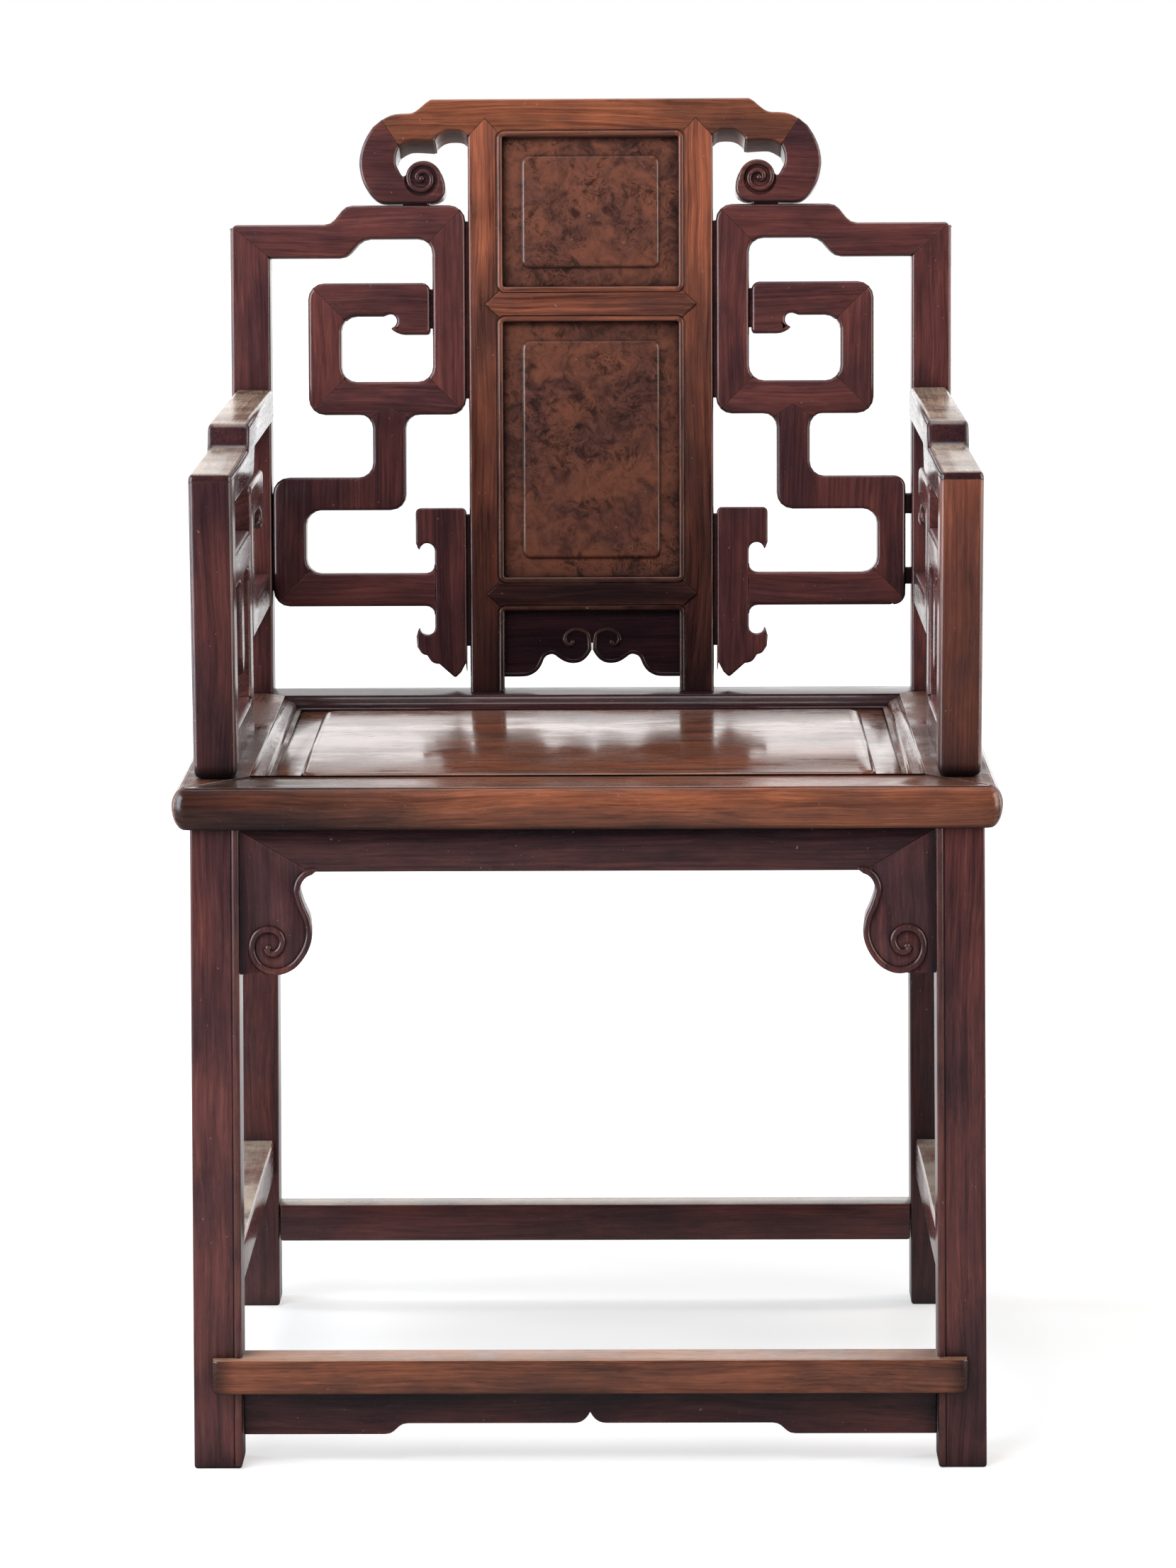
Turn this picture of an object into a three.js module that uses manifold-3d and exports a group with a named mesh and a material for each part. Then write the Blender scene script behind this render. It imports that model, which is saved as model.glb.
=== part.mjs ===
// A square hardwood armchair with a panelled splat, fretwork back and arms, and a footrest.
// Millimetres, +Z up, the sitter faces -Y.
import * as THREE from "three";
import Module from "manifold-3d";
import { mergeVertices } from "three/addons/utils/BufferGeometryUtils.js";

const wasm = await Module();
wasm.setup();

// Seat
const seatWidth = 610;
const seatDepth = 480;
const seatHeight = 520;
const seatThickness = 32;
const sideRailWidth = 54;
const frontRailWidth = 56.5;
const backRailWidth = 45;
const seatEdgeRound = 5.4;
const mouldWidth = 15;
const mouldDrop = 9;
const lipWidth = 8;
const panelSink = 11;
const panelThickness = 10;
const fieldRise = 5;
const fieldBevel = 3;
const fieldSideMargin = 19;
const fieldFrontMargin = 24.5;
const fieldBackMargin = 22;
const fieldCorner = 14;
const braceWidth = 50;
const braceHeight = 24;

// Stand
const frontLegSize = 36;
const rearLegSize = 33;
const legInset = 13.3;
const legSplay = 5.7;
const frontLegSetback = 9.4;
const rearLegSetback = 2;
const rearLegRake = 3.5;
const apronHeight = 31.5;
const apronThickness = 20;
const apronReveal = 1;
const bracketHeight = 77;
const bracketReach = 53;
const footrestTop = 86.5;
const footrestThickness = 26.5;
const footrestLip = 22;
const footrestRear = 21.6;
const footrestCorner = 6;
const footrestChamferDepth = 4;
const footrestChamferHeight = 5;
const footApronHeight = 36;
const footApronThickness = 14;
const footApronSetback = 9;
const footApronRise = 8.4;
const footApronRun = 17;
const footApronShoulder = 106.4;
const footNotchHalf = 12;
const footNotchRise = 8.6;
const sideStretcherBottom = 112;
const sideStretcherHeight = 31;
const sideStretcherWidth = 26.5;
const sideStretcherInset = 2.6;
const backStretcherBottom = 56;
const backStretcherHeight = 31;
const backStretcherDepth = 25;

// Back, measured up its own slope from the seat
const backLean = 0.1068;
const backSetback = 30.6;
const crestTop = 483;
const crestDepth = 40;
const crestThickness = 30.6;
const crestFall = 0.22;
const fretDepth = 24;
const barWidth = 27;
const postWidth = 32.2;
const postDepth = 28;
const postInset = 11.5;
const postCorner = 4.5;
const fretShoulder = 381.5;
const fretRise = 15.4;
const outerRound = 13;
const innerRound = 12;
const topStepShare = 0.726;
const bottomStepShare = 0.652;
const topStepRun = 23;
const bottomStepRun = 25.5;
const uprightGap = 2.5;
const scrollBottom = 226.8;
const scrollTop = 334;
const scrollOuterShare = 0.81;
const hookGap = 2;
const hookDrop = 42;
const hookFootShare = 0.29;
const hookTipShare = 0.455;
const hookTipRise = 5.4;
const hookCorner = 6.5;
const hookEye = 5.7;
const neckInnerShare = 0.321;
const neckRound = 11;
const neckPoint = 7.2;
const middleRailTop = 176;
const loopGap = 0.8;
const lowerRailBottom = 70.5;
const bracketJointRound = 7;
const finGap = 3;
const finTop = 150.6;
const finHookShare = 0.316;
const finHookDrop = 35;
const finCorner = 4;
const finEyeShare = 0.41;
const finNotchBase = 53.2;
const finFoot = 11.6;
const finBodyShare = 0.53;
const tongueMargin = 5;
const tongueRecess = 4;

// Splat
const stileInner = 72;
const stileOuter = 99.5;
const stilePoint = 14.8;
const splatMiddleBottom = 302.5;
const splatMiddleHeight = 27.5;
const splatBottomBottom = 67;
const splatBottomHeight = 26.5;
const splatPanelDepth = 5;
const splatPanelThickness = 12;
const splatFieldRise = 3;
const splatFieldInset = 14;
const splatFieldCorner = 6;
const splatFieldBevel = 2.5;
const splatApronFoot = 12;
const splatApronRise = 22.6;

// Crest and ears
const crestFlat = 129;
const crestShoulder = 41;
const crestShoulderDrop = 16.7;
const earWidth = 70;
const earGap = 1.7;
const earOverhang = 18;

// Arms, with heights above the seat
const armPostSize = 32;
const armPostSetback = 40;
const armPostHeight = 221;
const armOuterInset = 14;
const armFretThickness = 24;
const armFretInset = 4;
const armLipThickness = 6;
const armLowerThickness = 27;
const armUpperThickness = 26;
const armStepRise = 19;
const armTopStepShare = 0.396;
const armTopStepRun = 18;
const armBottomStepShare = 0.513;
const armBottomStepRun = 22;
const armLoopShare = 0.525;
const armLoopClearance = 42;
const armTongueShare = 0.455;
const armTongueWidth = 26;
const armTongueFoot = 56;
const armTonguePoint = 15;
const armTongueRound = 7;
const armScrollGap = 3;
const armScrollFoot = 70;
const armScrollClearance = 30;
const armHookShare = 0.28;
const armHookDrop = 46;

// Joints and drawing counts
const jointGap = 0.3;
const cornerSteps = 4;
const ogeeSteps = 6;
const eyeSteps = 10;

// Sections and outlines, as shares of the sizes that they follow
const seatEdgeShares = [[0.6, 1], [0.15, 0.75], [0, 0.45], [0.2, 0.2], [0.6, 0.05], [1, 0]];
const seatMouldShares = [[0, 0], [0.08, 0.18], [0.3, 0.38], [0.63, 0.6], [0.77, 0.94], [1, 1]];
const bracketSpiralShares = [
  [0.07, 0.94], [0.13, 0.89], [0.16, 0.82], [0.14, 0.74], [0.1, 0.67], [0.04, 0.55],
  [0.02, 0.41], [0.04, 0.28], [0.1, 0.19], [0.17, 0.11], [0.26, 0.04], [0.44, 0],
];
const crestShoulderShares = [
  [0.09, 0.12], [0.21, 0.37], [0.33, 0.59], [0.44, 0.67], [0.67, 0.69], [0.84, 0.79],
];
const crestEaveShares = [[0.88, 0.49], [0.78, 0.6], [0.6, 0.54], [0.475, 0.47]];
const crestArchShares = [[0.465, 0.83], [0.395, 1.32], [0.31, 1.59], [0.205, 1.65], [0.085, 1.55], [0, 1]];
const earShares = [
  [0.84, 0.92], [0.91, 0.81], [0.97, 0.67], [1, 0.51], [0.99, 0.38], [0.96, 0.26], [0.91, 0.16],
  [0.85, 0.08], [0.78, 0.02], [0.7, 0], [0.53, 0], [0.18, 0], [0.08, 0.03], [0.02, 0.09], [0, 0.18],
  [0.02, 0.3], [0.07, 0.4], [0.14, 0.47], [0.22, 0.5], [0.3, 0.49], [0.37, 0.46], [0.43, 0.41],
  [0.46, 0.34], [0.5, 0.33], [0.54, 0.4], [0.57, 0.47], [0.57, 0.57], [0.55, 0.64],
];
const mitreTopShares = [0.74, 1];
const mitreFootShares = [0.53, 0.68];
const finLobeShares = [
  [[1.5, 0.66], [1.61, 0.49], [1.48, 0.33], [1.25, 0.29]],
  [[1.25, 0.29], [1.1, 0.2], [0.87, 0.18]],
  [[0.87, 0.18], [0.65, 0.1], [0.37, 0]],
];
const finHeelShares = [[0.19, 0.07], [0.04, 0.19]];
const splatApronShares = [
  [1, 0], [0.8, 0], [0.7, 0.13], [0.63, 0.38], [0.58, 0.63], [0.47, 0.79],
  [0.39, 0.73], [0.32, 0.55], [0.22, 0.44], [0.11, 0.57], [0.05, 0.82], [0, 1],
];

// Heights and faces that several pieces share
const seatUnder = seatHeight - seatThickness;
const seatFront = -seatDepth / 2;
const seatBack = seatDepth / 2;
const seatSide = seatWidth / 2;
const legOuter = seatSide - legInset;
const frontLegFront = seatFront + frontLegSetback;
const frontLegBack = frontLegFront + frontLegSize;
const rearLegBack = seatBack - rearLegSetback;
const rearLegFront = rearLegBack - rearLegSize;
const panelSide = seatSide - sideRailWidth - mouldWidth;
const panelFront = seatFront + frontRailWidth + mouldWidth;
const panelBack = seatBack - backRailWidth - mouldWidth;
const panelTop = seatHeight - panelSink;
const panelUnder = panelTop - panelThickness;
const footrestUnder = footrestTop - footrestThickness;
const backFace = seatBack - backSetback;
const postOuter = seatSide - postInset;
const postInner = postOuter - postWidth;
const fretHigh = fretShoulder + fretRise;
const stileTop = crestTop - crestThickness;
const uprightInner = stileOuter + uprightGap;
const hookEnd = uprightInner + barWidth + hookGap;
const loopOuter = postInner - loopGap;
const finInner = stileOuter + finGap;
const fretSpan = postInner - stileOuter;
const scrollOuter = stileOuter + scrollOuterShare * fretSpan;
const hookRoom = scrollOuter - barWidth - hookEnd;
const neckInner = stileOuter + neckInnerShare * fretSpan;
const topStepStart = stileOuter + topStepShare * fretSpan;
const bottomStepStart = stileOuter + bottomStepShare * fretSpan;
const finBodyWidth = finBodyShare * (neckInner - finInner);
const finHookWidth = finHookShare * (neckInner - finInner);
const finEye = finEyeShare * finHookWidth;
const middleRailBottom = middleRailTop - barWidth;
const lowerRailTop = lowerRailBottom + barWidth;
const finOuter = finInner + finBodyWidth;
const splatMiddleTop = splatMiddleBottom + splatMiddleHeight;
const splatBottomTop = splatBottomBottom + splatBottomHeight;
const tongueDepth = fretDepth - tongueRecess;
const slope = Math.tan(backLean);

const at = (x, y) => new THREE.Vector2(x, y);

// How far a leg has moved outwards at a height
const splayAt = (height, total) => total * (1 - height / seatUnder);

// Front face of the leaning back at a height
const backFaceAt = (height) => backFace + (height - seatHeight) * slope;

function arc(centre, radius, from, to, steps) {
  const points = [];
  for (let i = 0; i <= steps; i++) {
    const angle = THREE.MathUtils.degToRad(from + ((to - from) * i) / steps);
    points.push(at(centre.x + radius * Math.cos(angle), centre.y + radius * Math.sin(angle)));
  }
  return points;
}

// A smooth S from one level to another
function ogee(from, to) {
  const middle = (from.x + to.x) / 2;
  return new THREE.CubicBezierCurve(from, at(middle, from.y), at(middle, to.y), to).getPoints(ogeeSteps);
}

// A round corner between the directions of its two neighbours
function fillet(before, corner, after, radius) {
  const into = before.clone().sub(corner).normalize();
  const out = after.clone().sub(corner).normalize();
  const half = Math.acos(THREE.MathUtils.clamp(into.dot(out), -1, 1)) / 2;
  const centre = into.clone().add(out).normalize().multiplyScalar(radius / Math.sin(half)).add(corner);
  const start = into.multiplyScalar(radius / Math.tan(half)).add(corner);
  const end = out.multiplyScalar(radius / Math.tan(half)).add(corner);
  const from = start.clone().sub(centre).angle();
  let turn = end.clone().sub(centre).angle() - from;
  if (turn > Math.PI) turn -= 2 * Math.PI;
  if (turn < -Math.PI) turn += 2 * Math.PI;
  const degrees = THREE.MathUtils.radToDeg;
  return arc(centre, radius, degrees(from), degrees(from + turn), cornerSteps);
}

// A polygon whose corners are [x, y] or [x, y, radius]
function rounded(corners) {
  return corners.flatMap(([x, y, radius], i) => {
    if (!radius) return [at(x, y)];
    const before = corners.at(i - 1);
    const after = corners[(i + 1) % corners.length];
    return fillet(at(before[0], before[1]), at(x, y), at(after[0], after[1]), radius);
  });
}

// One half of a round mitred corner: the outer arc up to the mitre, then the inner arc away from it
function mitre(outer, inner, along, outerRadius, innerRadius) {
  const across = inner.clone().sub(outer).normalize();
  const sine = Math.abs(across.cross(along));
  const edge = across.dot(along) / sine;
  const clear = along.clone().multiplyScalar(jointGap / 2);
  const sweep = (corner, radius, reversed) => {
    const centre = across.clone().multiplyScalar(radius / sine).add(corner).add(clear);
    const touch = along.clone().multiplyScalar(radius * edge).add(corner).add(clear);
    const middle = centre.clone().addScaledVector(across, -radius);
    if (radius === 0) return [middle];
    const from = touch.clone().sub(centre).angle();
    let turn = middle.clone().sub(centre).angle() - from;
    if (turn > Math.PI) turn -= 2 * Math.PI;
    if (turn < -Math.PI) turn += 2 * Math.PI;
    const degrees = THREE.MathUtils.radToDeg;
    const points = arc(centre, radius, degrees(from), degrees(from + turn), cornerSteps / 2);
    return reversed ? points.reverse() : points;
  };
  return { outer: sweep(outer, outerRadius, false), inner: sweep(inner, innerRadius, true) };
}

// A closed body between two rings that share one outline's triangles
function loft(outline, nearRing, farRing) {
  const count = outline.length;
  const caps = THREE.ShapeUtils.triangulateShape(outline, []);
  const capArea = caps.reduce((sum, cap) => sum + THREE.ShapeUtils.area(cap.map((i) => outline[i])), 0);
  const agrees = capArea * THREE.ShapeUtils.area(outline) > 0;
  const triangles = [];
  for (const [a, b, c] of caps) {
    const [p, q] = agrees ? [b, c] : [c, b];
    triangles.push([a, q, p], [count + a, count + p, count + q]);
  }
  for (let i = 0; i < count; i++) {
    const j = (i + 1) % count;
    triangles.push([i, j, count + j], [i, count + j, count + i]);
  }
  const points = [...nearRing, ...farRing];
  let volume = 0;
  for (const [a, b, c] of triangles) volume += points[a].dot(points[b].clone().cross(points[c]));
  const faces = volume < 0 ? triangles.map(([a, b, c]) => [a, c, b]) : triangles;
  const geometry = new THREE.BufferGeometry().setFromPoints(points);
  geometry.setIndex(faces.flat());
  return geometry;
}

function solid(geometry) {
  const plain = geometry.clone();
  plain.deleteAttribute("normal");
  plain.deleteAttribute("uv");
  const merged = mergeVertices(plain);
  return new wasm.Manifold(
    new wasm.Mesh({
      numProp: 3,
      vertProperties: merged.attributes.position.array,
      triVerts: new Uint32Array(merged.index.array),
    }),
  );
}

function joined(first, ...others) {
  let body = solid(first);
  for (const other of others) body = body.add(solid(other));
  const mesh = body.getMesh();
  const geometry = new THREE.BufferGeometry();
  geometry.setAttribute("position", new THREE.Float32BufferAttribute(mesh.vertProperties, 3));
  geometry.setIndex([...mesh.triVerts]);
  return geometry;
}

function block(left, right, front, back, bottom, top) {
  const geometry = new THREE.BoxGeometry(right - left, back - front, top - bottom);
  return geometry.translate((left + right) / 2, (front + back) / 2, (bottom + top) / 2);
}

// A board seen from the front, from its front face backwards
function board(outline, front, thickness) {
  const options = { depth: thickness, bevelEnabled: false };
  const geometry = new THREE.ExtrudeGeometry(new THREE.Shape(outline), options);
  return geometry.rotateX(Math.PI / 2).translate(0, front + thickness, 0);
}

// A board seen from the right, drawn with +Y to the right, from its left face
function cheek(outline, left, thickness) {
  const options = { depth: thickness, bevelEnabled: false };
  const geometry = new THREE.ExtrudeGeometry(new THREE.Shape(outline), options);
  const turned = new THREE.Matrix4().makeBasis(
    new THREE.Vector3(0, 1, 0),
    new THREE.Vector3(0, 0, 1),
    new THREE.Vector3(1, 0, 0),
  );
  return geometry.applyMatrix4(turned).translate(left, 0, 0);
}

// The height of a back piece's point at a depth: feet stand level, and the crest falls away rearwards
function settled(height, depth) {
  if (height === 0) return jointGap + depth * slope;
  const earMitre = earFoot + earHeight * mitreFootShares[1];
  const share = THREE.MathUtils.clamp((height - earFoot) / (earMitre - earFoot), 0, 1);
  return height - crestFall * depth * share;
}

// A piece of the back, drawn on its front face in its leaning frame
function slab(outline, front, rear) {
  const ring = (depth) => outline.map((p) => new THREE.Vector3(p.x, depth, settled(p.y, depth)));
  return loft(outline, ring(front), ring(rear));
}

const mirrored = (outline, side) => outline.map((p) => at(side * p.x, p.y));

const chair = new THREE.Group();
const back = new THREE.Group();
back.position.set(0, backFace, seatHeight);
back.rotation.x = -backLean;
chair.add(back);

function add(name, geometry, color, parent = chair) {
  const material = new THREE.MeshStandardMaterial({ color, roughness: 0.38, metalness: 0 });
  const mesh = new THREE.Mesh(geometry, material);
  mesh.name = name;
  parent.add(mesh);
}

const warm = 0x6b2f1a;
const dark = 0x3d2019;
const plum = 0x47241f;
const burl = 0x3a2117;

// Seat frame: four mitred rails with a belly edge outside and a stepped moulding inside
function seatProfile() {
  const edge = seatEdgeShares.map(([inset, drop]) => [0, inset * seatEdgeRound, -drop * seatThickness]);
  const mould = seatMouldShares.map(([run, drop]) => [1, run * mouldWidth, -drop * mouldDrop]);
  const lip = -panelSink - panelThickness;
  const rabbet = [
    [1, mouldWidth, lip],
    [1, mouldWidth + lipWidth, lip],
    [1, mouldWidth + lipWidth, -seatThickness],
  ];
  return [...edge, ...mould, ...rabbet];
}

function seatRail(start, end, width) {
  const profile = seatProfile();
  const outline = profile.map(([share, past, z]) => at(share * width + past, z));
  const ring = ([x, y, crossX, crossY, alongX, alongY]) =>
    profile.map(([share, past, z]) => {
      const clearX = (alongX * jointGap) / 2;
      const clearY = (alongY * jointGap) / 2;
      return new THREE.Vector3(
        x + share * crossX + Math.sign(crossX) * past + clearX,
        y + share * crossY + Math.sign(crossY) * past + clearY,
        seatHeight + z,
      );
    });
  return loft(outline, ring(start), ring(end));
}

function seatCorner(side, isFront, alongX, alongY) {
  const y = isFront ? seatFront : seatBack;
  const cross = isFront ? frontRailWidth : -backRailWidth;
  return [side * seatSide, y, -side * sideRailWidth, cross, alongX, alongY];
}

for (const [name, isFront, width] of [["front", true, frontRailWidth], ["back", false, backRailWidth]]) {
  const left = seatCorner(-1, isFront, 1, 0);
  const right = seatCorner(1, isFront, -1, 0);
  add(`seat_${name}_rail`, seatRail(left, right, width), warm);
}
for (const [name, side] of [["left", -1], ["right", 1]]) {
  const front = seatCorner(side, true, 0, 1);
  const rear = seatCorner(side, false, 0, -1);
  add(`seat_${name}_rail`, seatRail(front, rear, sideRailWidth), warm);
}

// Seat panel with a raised field, and the batten under it
function raisedField(left, right, bottom, top, corner) {
  return rounded([
    [left, bottom, corner],
    [right, bottom, corner],
    [right, top, corner],
    [left, top, corner],
  ]);
}

function seatPanel() {
  const side = panelSide - jointGap;
  const slabBase = block(-side, side, panelFront + jointGap, panelBack - jointGap, panelUnder, panelTop);
  const field = (inset) =>
    raisedField(
      -panelSide + fieldSideMargin + inset,
      panelSide - fieldSideMargin - inset,
      panelFront + fieldFrontMargin + inset,
      panelBack - fieldBackMargin - inset,
      fieldCorner - inset,
    );
  const ring = (outline, z) => outline.map((p) => new THREE.Vector3(p.x, p.y, z));
  const outer = field(0);
  const inner = field(fieldBevel);
  const shoulder = panelTop + fieldRise - fieldBevel;
  const raised = loft(outer, ring(outer, panelTop - fieldRise), ring(outer, shoulder));
  const crown = loft(outer, ring(outer, shoulder), ring(inner, panelTop + fieldRise));
  return joined(slabBase, raised, crown);
}

add("seat_panel", seatPanel(), warm);
const braceFront = panelFront + lipWidth + jointGap;
const braceBack = panelBack - lipWidth - jointGap;
add(
  "seat_brace",
  block(-braceWidth / 2, braceWidth / 2, braceFront, braceBack, panelUnder - braceHeight, panelUnder),
  dark,
);

// Legs: square, splayed a little to the floor
function leg(side, size, front, rake) {
  const outline = [at(0, 0), at(size, 0), at(size, size), at(0, size)];
  const ring = (height) =>
    outline.map((p) => {
      const x = legOuter - p.x + splayAt(height, legSplay);
      return new THREE.Vector3(side * x, front + p.y + splayAt(height, rake), height);
    });
  return loft(outline, ring(0), ring(seatUnder));
}

for (const [name, side] of [["left", -1], ["right", 1]]) {
  add(`front_${name}_leg`, leg(side, frontLegSize, frontLegFront, 0), dark);
  add(`rear_${name}_leg`, leg(side, rearLegSize, rearLegFront, rearLegRake), dark);
}

// Front apron with slanted ends, and its two scrolled brackets
const apronBottom = seatUnder - apronHeight;
const frontLegInner = legOuter - frontLegSize;
const rearLegInner = legOuter - rearLegSize;
const bracketStart = frontLegInner - bracketReach;

function frontApron() {
  const outline = [
    at(-frontLegInner + jointGap, seatUnder),
    at(frontLegInner - jointGap, seatUnder),
    at(bracketStart + jointGap, apronBottom),
    at(-bracketStart - jointGap, apronBottom),
  ];
  return board(outline, frontLegFront + apronReveal, apronThickness);
}

function bracket(side) {
  const foot = apronBottom - bracketHeight;
  const place = ([x, z]) => at(bracketStart + x * bracketReach, foot + z * bracketHeight);
  const scroll = bracketSpiralShares.map(place);
  const smooth = new THREE.SplineCurve([at(bracketStart + jointGap, apronBottom - jointGap), ...scroll]);
  const legAt = (height) => frontLegInner + splayAt(height, legSplay) - jointGap;
  const outline = [
    ...smooth.getPoints(scroll.length * 2),
    at(legAt(foot), foot),
    at(legAt(seatUnder) - jointGap, seatUnder - jointGap * 2),
  ];
  return board(mirrored(outline, side), frontLegFront + apronReveal, apronThickness);
}

add("front_apron", frontApron(), dark);
for (const [name, side] of [["left", -1], ["right", 1]]) {
  add(`front_${name}_bracket`, bracket(side), dark);
  const outer = side * (legOuter - apronReveal);
  const inner = outer - side * apronThickness;
  const span = [frontLegBack + jointGap, rearLegFront - jointGap];
  add(
    `${name}_apron`,
    block(Math.min(outer, inner), Math.max(outer, inner), ...span, apronBottom, seatUnder),
    dark,
  );
}
const backApronHalf = rearLegInner - jointGap;
const backApronBack = rearLegBack - apronReveal;
add(
  "back_apron",
  block(-backApronHalf, backApronHalf, backApronBack - apronThickness, backApronBack, apronBottom, seatUnder),
  dark,
);

// Footrest board notched round the front legs, and the shaped apron under it
function footrest() {
  const inner = frontLegInner + splayAt(footrestTop, legSplay) - jointGap;
  const lipHalf = frontLegInner + splayAt(footrestTop, legSplay) + footrestLip;
  const lipBack = frontLegFront - jointGap;
  const plan = rounded([
    [-lipHalf, seatFront, footrestCorner],
    [lipHalf, seatFront, footrestCorner],
    [lipHalf, lipBack],
    [inner, lipBack],
    [inner, frontLegFront + footrestRear],
    [-inner, frontLegFront + footrestRear],
    [-inner, lipBack],
    [-lipHalf, lipBack],
  ]);
  const ring = (height, pull) =>
    plan.map((p) => new THREE.Vector3(p.x, Math.max(p.y, Math.min(seatFront + pull, lipBack)), height));
  const chamferTop = footrestUnder + footrestChamferHeight;
  const upper = loft(plan, ring(chamferTop, 0), ring(footrestTop, 0));
  const lower = loft(plan, ring(footrestUnder, footrestChamferDepth), ring(chamferTop, 0));
  return joined(upper, lower);
}

function footApron() {
  const half = frontLegInner + splayAt(footrestUnder, legSplay) - jointGap;
  const bottom = footrestUnder - footApronHeight;
  const low = bottom + footApronRise;
  const notch = new THREE.QuadraticBezierCurve(
    at(footNotchHalf, low),
    at(footNotchHalf / 3, low),
    at(0, low + footNotchRise),
  );
  const right = [
    at(half, footrestUnder),
    at(half, bottom),
    ...ogee(at(half - footApronShoulder, bottom), at(half - footApronShoulder - footApronRun, low)),
    ...notch.getPoints(ogeeSteps),
  ];
  const left = mirrored(right.slice(0, -1), -1).reverse();
  return board([...right, ...left], frontLegFront + footApronSetback, footApronThickness);
}

add("footrest_board", footrest(), plum);
add("footrest_apron", footApron(), dark);

// Stretchers
for (const [name, side] of [["left", -1], ["right", 1]]) {
  const top = sideStretcherBottom + sideStretcherHeight;
  const outer = side * (legOuter + splayAt(sideStretcherBottom, legSplay) - sideStretcherInset);
  const inner = outer - side * sideStretcherWidth;
  const rear = rearLegFront + splayAt(top, rearLegRake) - jointGap;
  add(
    `${name}_stretcher`,
    block(
      Math.min(outer, inner),
      Math.max(outer, inner),
      frontLegBack + jointGap,
      rear,
      sideStretcherBottom,
      top,
    ),
    plum,
  );
}
const backStretcherTop = backStretcherBottom + backStretcherHeight;
const backStretcherHalf = rearLegInner + splayAt(backStretcherTop, legSplay) - jointGap;
const backStretcherFront = rearLegFront + rearLegRake;
add(
  "back_stretcher",
  block(
    -backStretcherHalf,
    backStretcherHalf,
    backStretcherFront,
    backStretcherFront + backStretcherDepth,
    backStretcherBottom,
    backStretcherTop,
  ),
  plum,
);

// Directions in the plane of the back
const rightwards = at(1, 0);
const leftwards = at(-1, 0);
const upwards = at(0, 1);
const downwards = at(0, -1);

// Mitred corners of the fret: the outer corner, which way the bar's inner side lies from it, and the
// direction of the piece away from it
const corner = (x, h, inX, inH) => (along) =>
  mitre(at(x, h), at(x + inX * barWidth, h + inH * barWidth), along, outerRound, innerRound);
const uprightTop = corner(uprightInner, fretHigh, 1, -1);
const uprightFoot = corner(uprightInner, scrollBottom, 1, 1);
const scrollFoot = corner(scrollOuter, scrollBottom, -1, 1);
const scrollHead = corner(scrollOuter, scrollTop, -1, -1);
const loopFoot = corner(loopOuter, lowerRailBottom, -1, 1);
const postHead = (along) =>
  mitre(at(postOuter, fretShoulder), at(postInner, fretShoulder - barWidth), along, postCorner, 0);

// A straight piece between two mitres
const between = (start, end) => [
  ...start.outer.slice().reverse(),
  ...end.outer,
  ...end.inner,
  ...start.inner.slice().reverse(),
];

function post() {
  const top = postHead(downwards);
  return [at(postInner, 0), at(postOuter, 0), ...top.outer, ...top.inner];
}

function fretTopRail() {
  const start = postHead(leftwards);
  const end = uprightTop(rightwards);
  const stepFoot = at(bottomStepStart, fretShoulder - barWidth);
  const stepHead = at(bottomStepStart - bottomStepRun, fretHigh - barWidth);
  return [
    ...start.outer.slice().reverse(),
    ...ogee(at(topStepStart, fretShoulder), at(topStepStart - topStepRun, fretHigh)),
    ...end.outer,
    ...end.inner,
    ...ogee(stepHead, stepFoot),
    ...start.inner.slice().reverse(),
  ];
}

// Half of the neck's foot fillet, and the shallow point between the two halves
const neckCorner = (centreX, from, to) =>
  arc(at(centreX, scrollBottom - neckRound), neckRound, from, to, cornerSteps / 2);
const neckOuter = neckInner + barWidth;
const neckMiddle = neckInner + barWidth / 2;

function scrollBottomBar() {
  const start = uprightFoot(rightwards);
  const end = scrollFoot(leftwards);
  const lift = (points) => points.map((p) => at(p.x, p.y + jointGap));
  return [
    ...start.outer,
    ...start.inner,
    ...end.inner.slice().reverse(),
    ...end.outer.slice().reverse(),
    at(neckOuter + neckRound, scrollBottom),
    ...lift(neckCorner(neckOuter + neckRound, 90, 135)).slice(1),
    at(neckMiddle, scrollBottom + neckPoint + jointGap),
    ...lift(neckCorner(neckInner - neckRound, 45, 90)).slice(0, -1),
    at(neckInner - neckRound, scrollBottom),
  ];
}

// The hooked end of a scroll's top bar, from its top corner down to the eye in its underside
function hook(end, top, drop, footRun, tipRun) {
  const foot = top - drop;
  const tip = foot + hookTipRise;
  const eye = at(end + tipRun, tip + hookEye);
  const tipCurve = new THREE.QuadraticBezierCurve(
    at(end + footRun, foot),
    at(end + (footRun + tipRun) / 2, foot),
    at(end + tipRun, tip),
  );
  return [
    ...fillet(at(end + tipRun, top), at(end, top), at(end, foot), hookCorner),
    ...fillet(at(end, top), at(end, foot), at(end + footRun, foot), hookCorner / 2),
    ...tipCurve.getPoints(cornerSteps),
    ...arc(eye, hookEye, -90, -290, eyeSteps).slice(1),
    at(eye.x + hookEye, top - barWidth),
  ];
}

function scrollTopBar() {
  const end = scrollHead(leftwards);
  const foot = hookFootShare * hookRoom;
  const tip = hookTipShare * hookRoom;
  const hooked = hook(hookEnd, scrollTop, hookDrop, foot, tip);
  return [...end.outer, ...end.inner, ...hooked.reverse()];
}

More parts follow.
